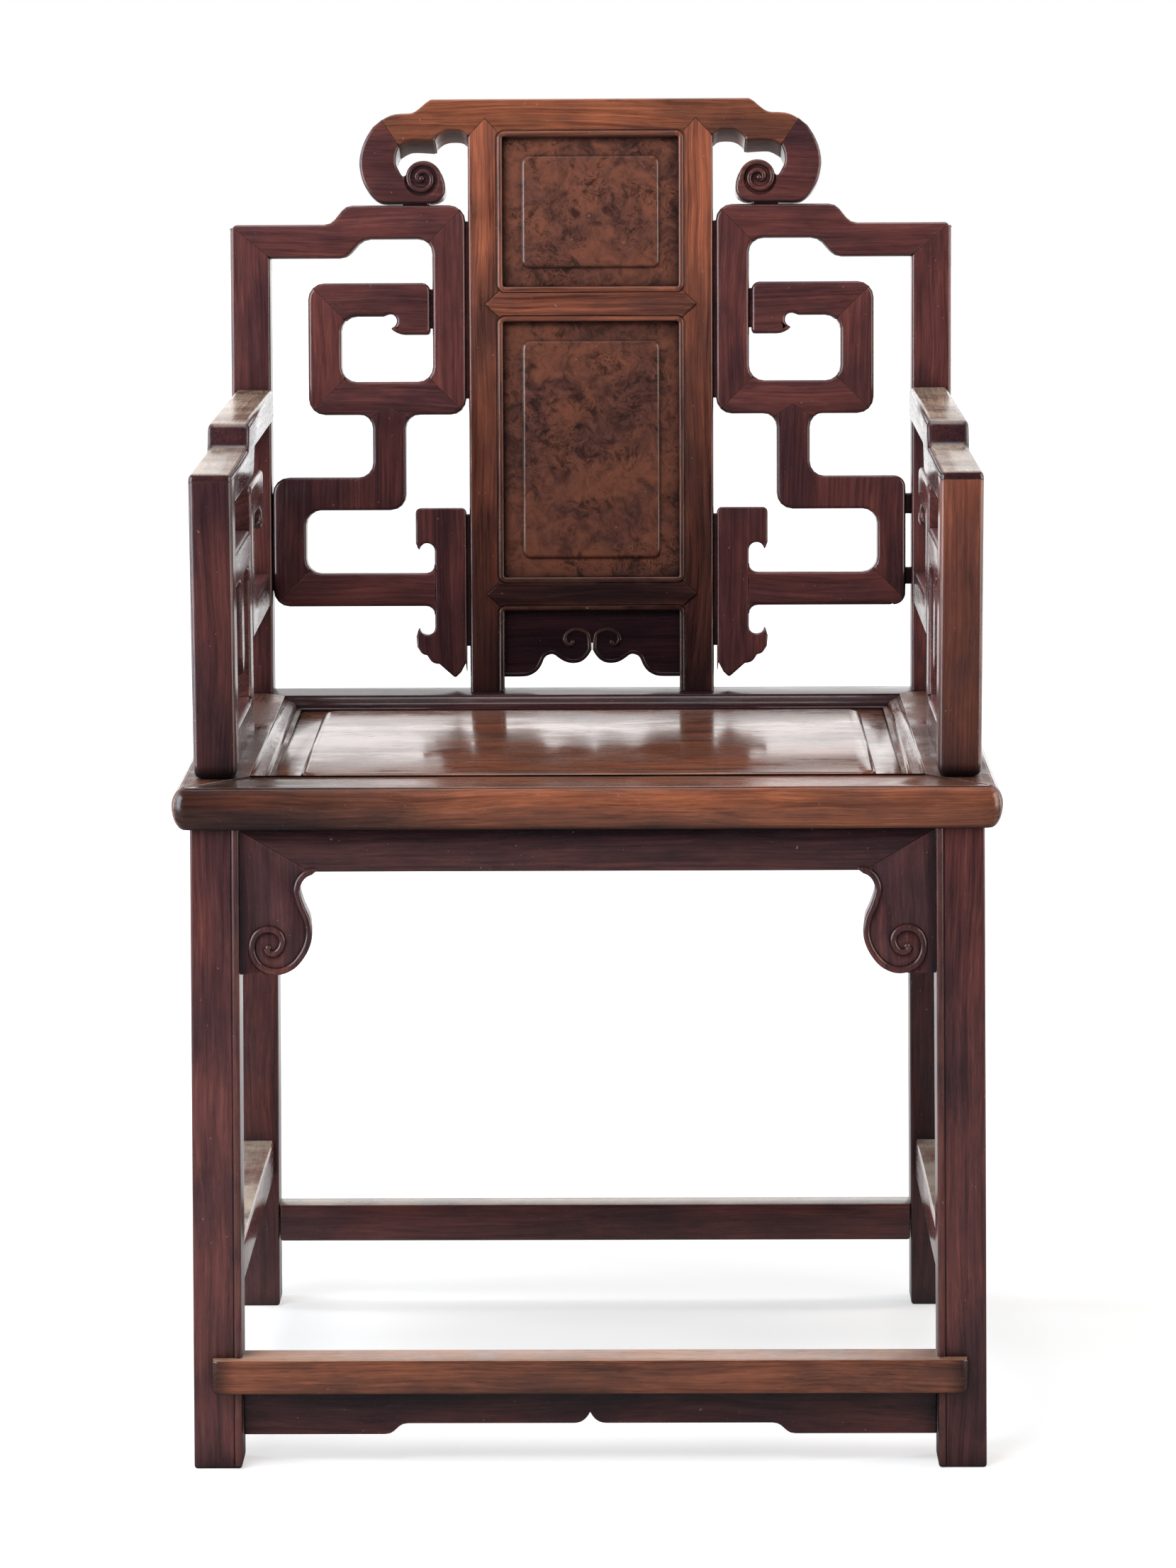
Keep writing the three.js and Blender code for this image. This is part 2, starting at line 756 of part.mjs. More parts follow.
function loopOutline() {
  const foot = loopFoot(upwards);
  const inner = loopOuter - barWidth;
  const body = rounded([
    [loopOuter, lowerRailBottom],
    [loopOuter, middleRailTop, outerRound],
    [neckOuter, middleRailTop, innerRound],
    [neckOuter, scrollBottom],
    [neckInner, scrollBottom],
    [neckInner, middleRailBottom, outerRound],
    [inner, middleRailBottom, innerRound],
    [inner, lowerRailBottom],
  ]);
  const neck = body.findIndex((p) => p.y === scrollBottom);
  return [
    ...foot.outer.slice().reverse(),
    ...body.slice(1, neck),
    ...neckCorner(neckOuter + neckRound, 180, 135),
    at(neckMiddle, scrollBottom + neckPoint),
    ...neckCorner(neckInner - neckRound, 45, 0),
    ...body.slice(neck + 2, -1),
    ...foot.inner.slice().reverse(),
  ];
}

function lowerRail() {
  const end = loopFoot(leftwards);
  const joint = finOuter + jointGap;
  const flare = joint + bracketJointRound;
  const upper = at(flare, lowerRailTop + bracketJointRound);
  const lower = at(flare, lowerRailBottom - bracketJointRound);
  return [
    ...end.outer,
    ...end.inner,
    ...arc(upper, bracketJointRound, 270, 180, cornerSteps),
    ...arc(lower, bracketJointRound, 180, 90, cornerSteps),
  ];
}

// The hooked and lobed end piece of the lower bar
function fin() {
  const hookOuter = finOuter + finHookWidth;
  const eyeX = finOuter + finEye;
  const eyeZ = finTop - finHookDrop;
  const place = ([x, z]) =>
    at(finInner + x * finBodyWidth, finFoot + z * (lowerRailBottom - bracketJointRound));
  const lobes = finLobeShares.flatMap((shares, i) => {
    const points = new THREE.SplineCurve(shares.map(place)).getPoints(cornerSteps);
    return i === 0 ? points : points.slice(1);
  });
  return [
    at(hookOuter, eyeZ + finEye),
    ...rounded([
      [hookOuter, eyeZ],
      [hookOuter, finTop, finCorner],
      [finInner, finTop, finCorner],
      [finInner, finFoot + finCorner],
    ]).slice(1),
    ...finHeelShares.map(place).reverse(),
    ...lobes.reverse(),
    ...arc(at(eyeX, finNotchBase), finEye, 0, -180, eyeSteps).slice(1),
    ...arc(at(eyeX, eyeZ), finEye, 180, 0, eyeSteps),
  ];
}

// A recessed spacer tongue on a fret piece
const tongue = (left, right, bottom, top) =>
  slab([at(left, bottom), at(right, bottom), at(right, top), at(left, top)], tongueRecess, tongueDepth);

// Crest rail: flat top, dropped shoulders mitred to the ears, scalloped underside with notches for the stiles
const earFoot = fretHigh + earGap;
const earHeight = crestTop - crestShoulderDrop - earFoot;
const earInner = crestFlat + crestShoulder + earOverhang - earWidth;
const mitreTop = at(earInner + mitreTopShares[0] * earWidth, earFoot + mitreTopShares[1] * earHeight);
const mitreFoot = at(earInner + mitreFootShares[0] * earWidth, earFoot + mitreFootShares[1] * earHeight);

function crest() {
  const shoulder = crestShoulderShares.map(([x, drop]) =>
    at(crestFlat + x * crestShoulder, crestTop - drop * crestShoulderDrop),
  );
  const cut = ([x, z]) =>
    at(stileOuter + x * (mitreFoot.x - stileOuter), mitreFoot.y + z * (stileTop - mitreFoot.y));
  const eave = [mitreFoot, ...crestEaveShares.map(cut)];
  const arch = [eave.at(-1), ...crestArchShares.map(cut)];
  const top = new THREE.SplineCurve([at(crestFlat, crestTop), ...shoulder, mitreTop]);
  const right = [
    ...top.getPoints(shoulder.length * 2),
    ...new THREE.SplineCurve(eave).getPoints(eave.length * 2),
    ...new THREE.SplineCurve(arch).getPoints(arch.length * 2).slice(1),
    at((stileInner + stileOuter) / 2, stileTop + stilePoint),
    at(stileInner, stileTop),
  ];
  return [...right, ...mirrored(right, -1).reverse()];
}

function ear() {
  const points = earShares.map(([x, z]) => at(earInner + x * earWidth, earFoot + z * earHeight));
  const clear = (p) => at(p.x + jointGap, p.y);
  return [clear(mitreTop), ...new THREE.SplineCurve(points).getPoints(points.length * 2), clear(mitreFoot)];
}

// Splat: two stiles notched for the rails, two burl panels and a carved lower edge
const stileMiddle = (stileInner + stileOuter) / 2;

function stile() {
  const point = (foot, height) => [
    at(stileInner, foot + height + jointGap),
    at(stileMiddle + jointGap, foot + height / 2),
    at(stileInner, foot - jointGap),
  ];
  return [
    at(stileInner, 0),
    at(stileOuter, 0),
    at(stileOuter, stileTop - jointGap),
    at(stileMiddle, stileTop + stilePoint - jointGap * 2),
    at(stileInner, stileTop - jointGap),
    ...point(splatMiddleBottom, splatMiddleHeight),
    ...point(splatBottomBottom, splatBottomHeight),
  ];
}

function splatRail(foot, height) {
  const right = [at(stileInner, foot), at(stileMiddle, foot + height / 2), at(stileInner, foot + height)];
  return [...right, ...mirrored(right, -1).reverse()];
}

function splatPanel(foot, top) {
  const half = stileInner - jointGap;
  const low = foot + jointGap;
  const high = top - jointGap;
  const base = slab(
    [at(-half, low), at(half, low), at(half, high), at(-half, high)],
    splatPanelDepth,
    splatPanelDepth + splatPanelThickness,
  );
  const field = (inset) =>
    raisedField(-half + inset, half - inset, low + inset, high - inset, splatFieldCorner);
  const ring = (outline, depth) => outline.map((p) => new THREE.Vector3(p.x, depth, p.y));
  const outer = field(splatFieldInset);
  const inner = field(splatFieldInset + splatFieldBevel);
  const face = splatPanelDepth - splatFieldRise;
  return joined(base, loft(outer, ring(outer, splatPanelDepth + splatFieldRise), ring(inner, face)));
}

function splatApron() {
  const half = stileInner - jointGap;
  const right = splatApronShares.map(([x, z]) => at(x * half, splatApronFoot + z * splatApronRise));
  const curve = new THREE.SplineCurve(right.slice(1)).getPoints(right.length * 2);
  const top = splatBottomBottom - jointGap;
  const outline = [at(half, top), right[0], ...curve];
  return [...outline, ...mirrored(outline.slice(0, -1), -1).reverse()];
}

add("crest_rail", slab(crest(), 0, crestDepth), warm, back);
add("splat_middle_rail", slab(splatRail(splatMiddleBottom, splatMiddleHeight), 0, fretDepth), plum, back);
add("splat_bottom_rail", slab(splatRail(splatBottomBottom, splatBottomHeight), 0, fretDepth), plum, back);
add("splat_upper_panel", splatPanel(splatMiddleTop, stileTop), burl, back);
add("splat_lower_panel", splatPanel(splatBottomTop, splatMiddleBottom), burl, back);
add(
  "splat_apron",
  slab(splatApron(), splatPanelDepth, splatPanelDepth + splatPanelThickness),
  plum,
  back,
);

for (const [name, side] of [["left", -1], ["right", 1]]) {
  const piece = (outline, depth) => slab(mirrored(outline, side), 0, depth);
  const spacer = (left, right, bottom, top) => {
    const edges = [side * left, side * right].sort((a, b) => a - b);
    return tongue(edges[0], edges[1], bottom, top);
  };
  add(`${name}_back_post`, piece(post(), postDepth), dark, back);
  add(`splat_${name}_stile`, piece(stile(), fretDepth), plum, back);

  const earSpacer = spacer(
    earInner + outerRound,
    earInner + earWidth / 2,
    fretHigh + jointGap,
    earFoot + tongueMargin,
  );
  add(`crest_${name}_ear`, joined(piece(ear(), crestDepth), earSpacer), warm, back);

  add(`${name}_fret_top_rail`, piece(fretTopRail(), fretDepth), plum, back);
  const uprightSpacer = spacer(
    stileOuter + jointGap,
    uprightInner + tongueMargin,
    scrollBottom + outerRound,
    fretHigh - outerRound,
  );
  const upright = piece(between(uprightFoot(upwards), uprightTop(downwards)), fretDepth);
  add(`${name}_fret_inner_upright`, joined(upright, uprightSpacer), plum, back);
  add(`${name}_fret_scroll_bottom`, piece(scrollBottomBar(), fretDepth), plum, back);
  const scrollSide = between(scrollFoot(upwards), scrollHead(downwards));
  add(`${name}_fret_scroll_side`, piece(scrollSide, fretDepth), plum, back);
  const hookSpacer = spacer(
    uprightInner + barWidth + jointGap,
    hookEnd + tongueMargin,
    scrollTop - hookDrop + tongueMargin,
    scrollTop - tongueMargin,
  );
  add(`${name}_fret_scroll_top`, joined(piece(scrollTopBar(), fretDepth), hookSpacer), plum, back);
  const loopSpacer = spacer(
    loopOuter - tongueMargin,
    postInner - jointGap,
    lowerRailBottom + outerRound,
    middleRailTop - outerRound,
  );
  add(`${name}_fret_loop`, joined(piece(loopOutline(), fretDepth), loopSpacer), plum, back);
  add(`${name}_fret_lower_rail`, piece(lowerRail(), fretDepth), plum, back);
  const finSpacer = spacer(
    stileOuter + jointGap,
    finInner + tongueMargin,
    finFoot + outerRound * 2,
    finTop - tongueMargin,
  );
  add(`${name}_fret_bracket`, joined(piece(fin(), fretDepth), finSpacer), plum, back);
}

// Arms: front post, stepped top rail running back to the leaning post, and two pieces of fretwork
const armOuter = seatSide - armOuterInset;
const armFretOuter = armOuter - armFretInset;
const armPostFront = seatFront + armPostSetback;
const armPostBack = armPostFront + armPostSize;
const armPostTop = seatHeight + armPostHeight;
const armLowerTop = armPostTop + armLipThickness;
const armLowerBottom = armLowerTop - armLowerThickness;
const armUpperTop = armLowerTop + armStepRise;
const armUpperBottom = armUpperTop - armUpperThickness;
const armLoopLength = armLoopShare * (backFace - armPostBack);
const armLoopRear = armPostBack + armLoopLength;
const armLoopTop = armLowerBottom - armLoopClearance;
const armScrollFront = armLoopRear + armScrollGap;
const armScrollBottom = seatHeight + armScrollFoot;
const armScrollTop = armUpperBottom - armScrollClearance;

function armTopRail() {
  const rear = (height) => at(backFaceAt(height) - jointGap, height);
  const reach = backFace - armPostFront;
  const topStep = armPostFront + armTopStepShare * reach;
  const bottomStep = armPostFront + armBottomStepShare * reach;
  return [
    at(armPostFront, armPostTop),
    at(armPostFront, armLowerTop),
    ...ogee(at(topStep, armLowerTop), at(topStep + armTopStepRun, armUpperTop)),
    rear(armUpperTop),
    rear(armUpperBottom),
    ...ogee(at(bottomStep + armBottomStepRun, armUpperBottom), at(bottomStep, armLowerBottom)),
    at(armPostBack, armLowerBottom),
    at(armPostBack, armPostTop),
  ];
}

const armFoot = (along) =>
  mitre(at(armLoopRear, seatHeight), at(armLoopRear - barWidth, seatHeight + barWidth), along, 0, innerRound);

function armBottomRail() {
  const end = armFoot(leftwards);
  return [
    at(armPostBack + jointGap, seatHeight),
    ...end.outer,
    ...end.inner,
    at(armPostBack + jointGap, seatHeight + barWidth),
  ];
}

function armLoop() {
  const foot = armFoot(upwards);
  const under = armLoopTop - barWidth;
  const front = armPostBack + jointGap;
  const inner = armLoopRear - barWidth;
  const tongueFront = armPostBack + armTongueShare * armLoopLength;
  const tongueBack = tongueFront + armTongueWidth;
  const tongueTip = seatHeight + armTongueFoot;
  return [
    ...foot.outer.slice().reverse(),
    ...rounded([
      [armLoopRear, armLoopTop, outerRound],
      [front, armLoopTop],
      [front, under],
      [tongueFront, under, armTongueRound],
      [tongueFront, tongueTip + armTonguePoint],
      [(tongueFront + tongueBack) / 2, tongueTip],
      [tongueBack, tongueTip + armTonguePoint],
      [tongueBack, under, armTongueRound],
      [inner, under, innerRound],
      [inner, seatHeight + barWidth * 2],
      [armLoopRear, seatHeight + barWidth * 2],
    ]).slice(0, -2),
    ...foot.inner.slice().reverse(),
  ];
}

function armScroll() {
  const rear = (height) => [backFaceAt(height) - jointGap, height];
  const front = armScrollFront;
  const inner = front + barWidth;
  const hookRear = backFace - armHookShare * (backFace - front);
  const body = rounded([
    rear(armScrollBottom),
    rear(armScrollBottom + barWidth),
    [inner, armScrollBottom + barWidth, innerRound],
    [inner, armScrollTop - barWidth, innerRound],
    [hookRear - barWidth, armScrollTop - barWidth],
  ]);
  const hookRun = barWidth + hookEye;
  const hooked = hook(-hookRear, armScrollTop, armHookDrop, hookRun - outerRound, hookRun);
  const rearHook = hooked.map((p) => at(-p.x, p.y)).reverse();
  const top = rounded([
    [hookRear, armScrollTop],
    [front, armScrollTop, outerRound],
    [front, armScrollBottom, outerRound],
    [backFace, armScrollBottom],
  ]).slice(1, -1);
  return [...body.slice(0, -1), ...rearHook, ...top];
}

for (const [name, side] of [["left", -1], ["right", 1]]) {
  const across = (outer, width) => (side > 0 ? outer - width : -outer);
  const post = across(armOuter, armPostSize);
  const fret = across(armFretOuter, armFretThickness);
  add(`${name}_arm_top_rail`, cheek(armTopRail(), post, armPostSize), plum);
  add(
    `${name}_arm_front_post`,
    block(post, post + armPostSize, armPostFront, armPostBack, seatHeight, armPostTop),
    plum,
  );
  add(`${name}_arm_bottom_rail`, cheek(armBottomRail(), fret, armFretThickness), plum);
  add(`${name}_arm_loop`, cheek(armLoop(), fret, armFretThickness), plum);
  const spacer = block(
    fret + tongueRecess,
    fret + armFretThickness - tongueRecess,
    armLoopRear + jointGap,
    armScrollFront + tongueMargin,
    armScrollBottom + outerRound,
    armLoopTop - outerRound,
  );
  add(`${name}_arm_scroll`, joined(cheek(armScroll(), fret, armFretThickness), spacer), plum);
}

// Stand the chair on the floor with the middle of its outline over the origin
chair.updateMatrixWorld(true);
const extent = new THREE.Box3().setFromObject(chair);
const middle = extent.getCenter(new THREE.Vector3());
chair.position.set(-middle.x, -middle.y, -extent.min.z);

export default chair;
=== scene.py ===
"""Rosewood armchair with a fretwork back: worked timber, carving, finishes, lamps and camera"""

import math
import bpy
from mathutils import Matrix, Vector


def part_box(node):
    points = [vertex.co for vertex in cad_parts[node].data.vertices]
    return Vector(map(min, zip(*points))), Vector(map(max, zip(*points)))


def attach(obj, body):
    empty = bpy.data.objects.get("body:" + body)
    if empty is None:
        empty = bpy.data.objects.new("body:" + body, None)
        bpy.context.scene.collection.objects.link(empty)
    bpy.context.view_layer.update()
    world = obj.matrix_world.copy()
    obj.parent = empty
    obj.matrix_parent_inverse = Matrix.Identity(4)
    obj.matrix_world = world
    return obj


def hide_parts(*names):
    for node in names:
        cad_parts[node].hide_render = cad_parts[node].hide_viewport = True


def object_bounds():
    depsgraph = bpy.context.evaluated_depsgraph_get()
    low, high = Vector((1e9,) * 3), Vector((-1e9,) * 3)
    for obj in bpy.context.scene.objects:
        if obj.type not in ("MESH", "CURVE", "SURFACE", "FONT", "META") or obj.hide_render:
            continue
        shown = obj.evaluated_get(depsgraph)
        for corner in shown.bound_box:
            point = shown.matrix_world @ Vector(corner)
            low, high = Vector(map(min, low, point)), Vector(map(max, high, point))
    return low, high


bl_info = {
    "name": "Fretwork Armchair",
    "version": (1, 0, 0),
    "blender": (4, 5, 0),
    "location": "View3D > Sidebar > Armchair",
    "description": "Dresses the solids of a rosewood armchair with rounded timber, burl and carved scrolls",
    "category": "Object",
}

from contextlib import contextmanager

import bmesh
import bpy
from bpy.props import FloatProperty, FloatVectorProperty, PointerProperty
from mathutils import Matrix, Vector
from mathutils.bvhtree import BVHTree

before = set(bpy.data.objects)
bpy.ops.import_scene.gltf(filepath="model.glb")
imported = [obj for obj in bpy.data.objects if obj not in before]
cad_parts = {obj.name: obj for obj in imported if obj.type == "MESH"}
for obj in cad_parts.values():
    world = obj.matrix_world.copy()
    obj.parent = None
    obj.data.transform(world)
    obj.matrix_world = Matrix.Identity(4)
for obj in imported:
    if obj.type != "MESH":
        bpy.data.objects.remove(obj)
cad_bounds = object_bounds()

seat_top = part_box("seat_front_rail")[1].z
seat_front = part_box("seat_front_rail")[0].y
back_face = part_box("splat_left_stile")[0].y
mm = 0.001
seat_corner = 12 * mm
sides = (("left", -1), ("right", 1))


class ChairEdges(bpy.types.PropertyGroup):
    """How far each kind of edge is rounded"""

    fret: FloatProperty(name="Fret edges", description="Of the fretwork bars", default=0.0032, unit="LENGTH")
    crest: FloatProperty(name="Crest edges", description="Of crest and ears", default=0.003, unit="LENGTH")
    arm: FloatProperty(name="Arm edges", description="Of posts and rails", default=0.0045, unit="LENGTH")
    leg: FloatProperty(name="Leg edges", description="Of legs and stretchers", default=0.0024, unit="LENGTH")
    splat: FloatProperty(name="Splat edges", description="Of its stiles", default=0.0026, unit="LENGTH")
    panel: FloatProperty(name="Panel edges", description="Of raised fields", default=0.0022, unit="LENGTH")
    hairline: FloatProperty(name="Joints", description="Of edges in joints", default=0.00007, unit="LENGTH")


class ChairCarving(bpy.types.PropertyGroup):
    """Widths of the beads and ridges"""

    leg_bead: FloatProperty(name="Leg bead", description="On the front legs", default=0.0053, unit="LENGTH")
    splat_bead: FloatProperty(name="Splat bead", description="Round panels", default=0.0044, unit="LENGTH")
    scroll_bead: FloatProperty(name="Scroll bead", description="On brackets", default=0.0052, unit="LENGTH")
    ear_ridge: FloatProperty(name="Ear ridge", description="In its spiral", default=0.004, unit="LENGTH")


class ChairFinish(bpy.types.PropertyGroup):
    """Colours of the timber"""

    plum: FloatVectorProperty(
        name="Dark timber", description="Dark rosewood", subtype="COLOR", default=(0.132, 0.046, 0.046)
    )
    plum_vein: FloatVectorProperty(
        name="Dark veins", description="Its veins", subtype="COLOR", default=(0.034, 0.014, 0.017)
    )
    amber: FloatVectorProperty(
        name="Warm timber", description="Warm rosewood", subtype="COLOR", default=(0.265, 0.092, 0.052)
    )
    amber_vein: FloatVectorProperty(
        name="Warm veins", description="Its veins", subtype="COLOR", default=(0.075, 0.024, 0.017)
    )
    burl: FloatVectorProperty(
        name="Burl", description="Burl of the panels", subtype="COLOR", default=(0.165, 0.068, 0.054)
    )
    burl_knot: FloatVectorProperty(
        name="Burl knots", description="Its knots", subtype="COLOR", default=(0.012, 0.007, 0.007)
    )
    dust: FloatVectorProperty(
        name="Dust", description="Worn and dusty upper faces", subtype="COLOR", default=(0.58, 0.42, 0.31)
    )
    trodden: FloatVectorProperty(
        name="Trodden timber", description="Top of the footrest", subtype="COLOR", default=(0.8, 0.43, 0.28)
    )
    rubbed: FloatVectorProperty(
        name="Rubbed edges", description="Bare timber on corners", subtype="COLOR", default=(0.2, 0.09, 0.06)
    )
    # Painted shade: this colour also darkens hollows and faces that look down, besides old wax
    grime: FloatVectorProperty(
        name="Grime", description="Old wax in the corners", subtype="COLOR", default=(0.007, 0.005, 0.007)
    )


class ChairStudio(bpy.types.PropertyGroup):
    """Camera and lamps"""

    lens: FloatProperty(name="Lens", description="Focal length", default=152.3, unit="CAMERA")
    distance: FloatProperty(name="Distance", description="To the seat front", default=3.57505, unit="LENGTH")
    height: FloatProperty(name="Height", description="Of the camera", default=1.16025, unit="LENGTH")
    offset: FloatProperty(name="Offset", description="To the right", default=0.039995, unit="LENGTH")
    turn: FloatProperty(name="Turn", description="To the right", default=-0.0109, unit="ROTATION")
    tilt: FloatProperty(name="Tilt", description="Downwards", default=0.1763, unit="ROTATION")
    roll: FloatProperty(name="Roll", description="Of the camera", default=-0.0052, unit="ROTATION")
    lean: FloatProperty(name="Back lean", description="Of the chair's back", default=0.1068, unit="ROTATION")


# Selecting and joining
def clear_selection():
    if bpy.context.object and bpy.context.object.mode != "OBJECT":
        bpy.ops.object.mode_set(mode="OBJECT")
    bpy.ops.object.select_all(action="DESELECT")


def activate(piece):
    clear_selection()
    piece.select_set(True)
    bpy.context.view_layer.objects.active = piece


@contextmanager
def editing(piece):
    """Open a piece for editing with all of it selected, and close it afterwards"""
    activate(piece)
    bpy.ops.object.mode_set(mode="EDIT")
    bpy.ops.mesh.select_all(action="SELECT")
    yield
    bpy.ops.object.mode_set(mode="OBJECT")


def apply_modifier(piece, kind, **settings):
    activate(piece)
    modifier = piece.modifiers.new(kind.lower(), kind)
    for name, value in settings.items():
        setattr(modifier, name, value)
    bpy.ops.object.modifier_apply(modifier=modifier.name)


def join(piece, *others):
    activate(piece)
    for other in others:
        other.select_set(True)
    bpy.ops.object.join()


def cut(piece, cutter, crossing=False):
    """Take a cutter's shape out of a piece; a cutter whose own faces cross needs crossing"""
    apply_modifier(piece, "BOOLEAN", operation="DIFFERENCE", solver="EXACT", object=cutter, use_self=crossing)
    bpy.data.objects.remove(cutter)


# Frames of the chair
def back_frame():
    lean = bpy.context.scene.chair_studio.lean
    return Matrix.Translation((0, back_face, seat_top)) @ Matrix.Rotation(-lean, 4, "X")


def upright_frame(y):
    return Matrix.Translation((0, y, 0))


# Timber pieces: each a copy of its solid with eased edges
def surface(node):
    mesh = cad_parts[node].data
    points = [v.co.copy() for v in mesh.vertices]
    return BVHTree.FromPolygons(points, [tuple(p.vertices) for p in mesh.polygons])


surfaces = {node: (surface(node), *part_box(node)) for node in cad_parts}


def touches(node, point, reach=0.45 * mm):
    for other, (tree, low, high) in surfaces.items():
        if other == node:
            continue
        if any(point[i] < low[i] - reach or point[i] > high[i] + reach for i in range(3)):
            continue
        if tree.find_nearest(point, reach)[0] is not None:
            return True
    return False


def is_joint(node, edge):
    first, last = (v.co for v in edge.verts)
    return all(touches(node, first.lerp(last, share)) for share in (0.15, 0.5, 0.85))


def copy_solid(node, suffix="timber"):
    piece = bpy.data.objects.new(f"{node}_{suffix}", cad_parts[node].data.copy())
    bpy.context.scene.collection.objects.link(piece)
    with editing(piece):
        bpy.ops.mesh.remove_doubles(threshold=0.02 * mm)
        bpy.ops.mesh.customdata_custom_splitnormals_clear()
        bpy.ops.mesh.dissolve_limited(angle_limit=math.radians(0.3))
    piece.data.materials.clear()
    return piece


def slice_at(piece, axis, spots, place=Matrix()):
    """Cut rows of points through a piece, across an axis of a frame"""
    normal = Vector([axis == letter for letter in "xyz"])
    with editing(piece):
        for spot in spots:
            bpy.ops.mesh.select_all(action="SELECT")
            bpy.ops.mesh.bisect(plane_co=place @ (normal * spot), plane_no=place.to_3x3() @ normal)


def ramp(value, low, high, to_low, to_high):
    share = min(1, max(0, (value - low) / (high - low)))
    return to_low + (to_high - to_low) * share


def fade(outer, near, far, at_end, inwards):
    """A tone that changes between two distances from the outer end of a piece; brackets, footrest ends and
    the right fret loop use it for painted shade
    """
    return lambda spot: ramp(outer - abs(spot.x), near, far, at_end, inwards)


def ease_edges(piece, node, width, segments=4, own_width=None, wide_joint=None):
    """Round a piece's sharp outer edges; those in a joint get a hairline, unless the joint is a wide one"""
    hairline = bpy.context.scene.chair_edges.hairline
    sharp = math.radians(34)
    mesh = piece.data
    shape = bmesh.new()
    shape.from_mesh(mesh)
    weights = []
    for edge in shape.edges:
        angle = edge.calc_face_angle_signed(0) if len(edge.link_faces) == 2 else 0
        weight = 0
        if abs(angle) > sharp:
            if not (wide_joint and wide_joint(edge)) and is_joint(node, edge):
                weight = hairline / width
            elif angle > 0:
                wanted = own_width(edge) if own_width else None
                weight = 1 if wanted is None else wanted / width
        weights.append(weight)
    shape.free()
    layer = mesh.attributes.new("bevel_weight_edge", "FLOAT", "EDGE")
    layer.data.foreach_set("value", weights)
    limits = {"limit_method": "WEIGHT", "use_clamp_overlap": False, "miter_outer": "MITER_SHARP"}
    apply_modifier(piece, "BEVEL", width=width, segments=segments, **limits)
    close_joints(piece, node)


@contextmanager
def picked(piece, kind, chosen):
    """Open a piece for editing with only the chosen points or faces selected, and close it afterwards"""
    activate(piece)
    bpy.ops.object.mode_set(mode="EDIT")
    bpy.ops.mesh.select_mode(type=kind)
    bpy.ops.mesh.select_all(action="DESELECT")
    bpy.ops.object.mode_set(mode="OBJECT")
    elements = piece.data.vertices if kind == "VERT" else piece.data.polygons
    elements.foreach_set("select", chosen)
    bpy.ops.object.mode_set(mode="EDIT")
    yield
    bpy.ops.mesh.select_mode(type="VERT")
    bpy.ops.object.mode_set(mode="OBJECT")


def close_joints(piece, node):
    """Raise a pad inside each joint, so that no light comes through its hairline gap"""
    gap, smallest, corners = 0.36 * mm, 60 * mm * mm, 12
    mesh = piece.data
    chosen = []
    for polygon in mesh.polygons:
        spots = [polygon.center.lerp(mesh.vertices[i].co, 0.7) for i in polygon.vertices]
        plain = polygon.area > smallest and len(spots) < corners
        chosen.append(plain and all(touches(node, spot, gap) for spot in spots))
    if any(chosen):
        with picked(piece, "FACE", chosen):
            bpy.ops.mesh.inset(thickness=1.0 * mm, depth=0.28 * mm, use_individual=True)


def lay_grain(piece, along, seed, lean, tone):
    """Give each point its place in the grain and its tone, which also carries painted shade: one value, foot
    and head values, or a function
    """
    axes = {
        "x": ((1, 0, 0), (0, 1, 0), (0, 0, 1)),
        "y": ((0, 1, 0), (1, 0, 0), (0, 0, 1)),
        "z": ((0, 0, 1), (1, 0, 0), (0, 1, 0)),
    }
    turn = back_frame().to_3x3().inverted() if lean else Matrix.Identity(3)
    rows = {name: Matrix(axis) @ turn for name, axis in axes.items()}
    start = Vector((seed * 0.731 % 3, 0.05 + seed * 0.0137 % 0.06, 0.02 + seed * 0.0071 % 0.05))
    mesh = piece.data
    inside = 69.5 * mm
    grain = mesh.attributes.new("grain", "FLOAT_VECTOR", "POINT")
    values = []
    for vertex in mesh.vertices:
        way = along
        if along == "ring":
            way = "x" if abs(vertex.co.x) < inside else "z"
        values.extend(rows[way] @ vertex.co + start)
    grain.data.foreach_set("vector", values)
    if callable(tone):
        tones = [tone(vertex.co) for vertex in mesh.vertices]
    elif isinstance(tone, tuple):
        heights = [vertex.co.z for vertex in mesh.vertices]
        foot, head = min(heights), max(heights)
        tones = [ramp(height, foot, head, *tone) for height in heights]
    else:
        tones = [tone] * len(mesh.vertices)
    shade = mesh.attributes.new("tone", "FLOAT", "POINT")
    shade.data.foreach_set("value", tones)


def seed_of(name):
    return sum((i + 3) * ord(letter) for i, letter in enumerate(name)) % 997


def finish_piece(piece, kind, nodes=(), along="z", lean=False, tone=0.0, angle=38):
    activate(piece)
    bpy.ops.object.shade_smooth_by_angle(angle=math.radians(angle))
    lay_grain(piece, along, seed_of(piece.name), lean, tone)
    piece.data.materials.clear()
    piece.data.materials.append(material(kind))
    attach(piece, "root")
    if nodes:
        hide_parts(*nodes)


def eased(node, width, suffix="timber"):
    piece = copy_solid(node, suffix)
    ease_edges(piece, node, width)
    return piece


def timber_piece(node, width, kind, along, lean=False, tone=0.0):
    finish_piece(eased(node, width), kind, [node], along, lean, tone)


# Carved lines
def laid_out(points, side):
    """Points given in millimetres, on the left or the right of the middle"""
    return [(side * x * mm, z * mm) for x, z in points]


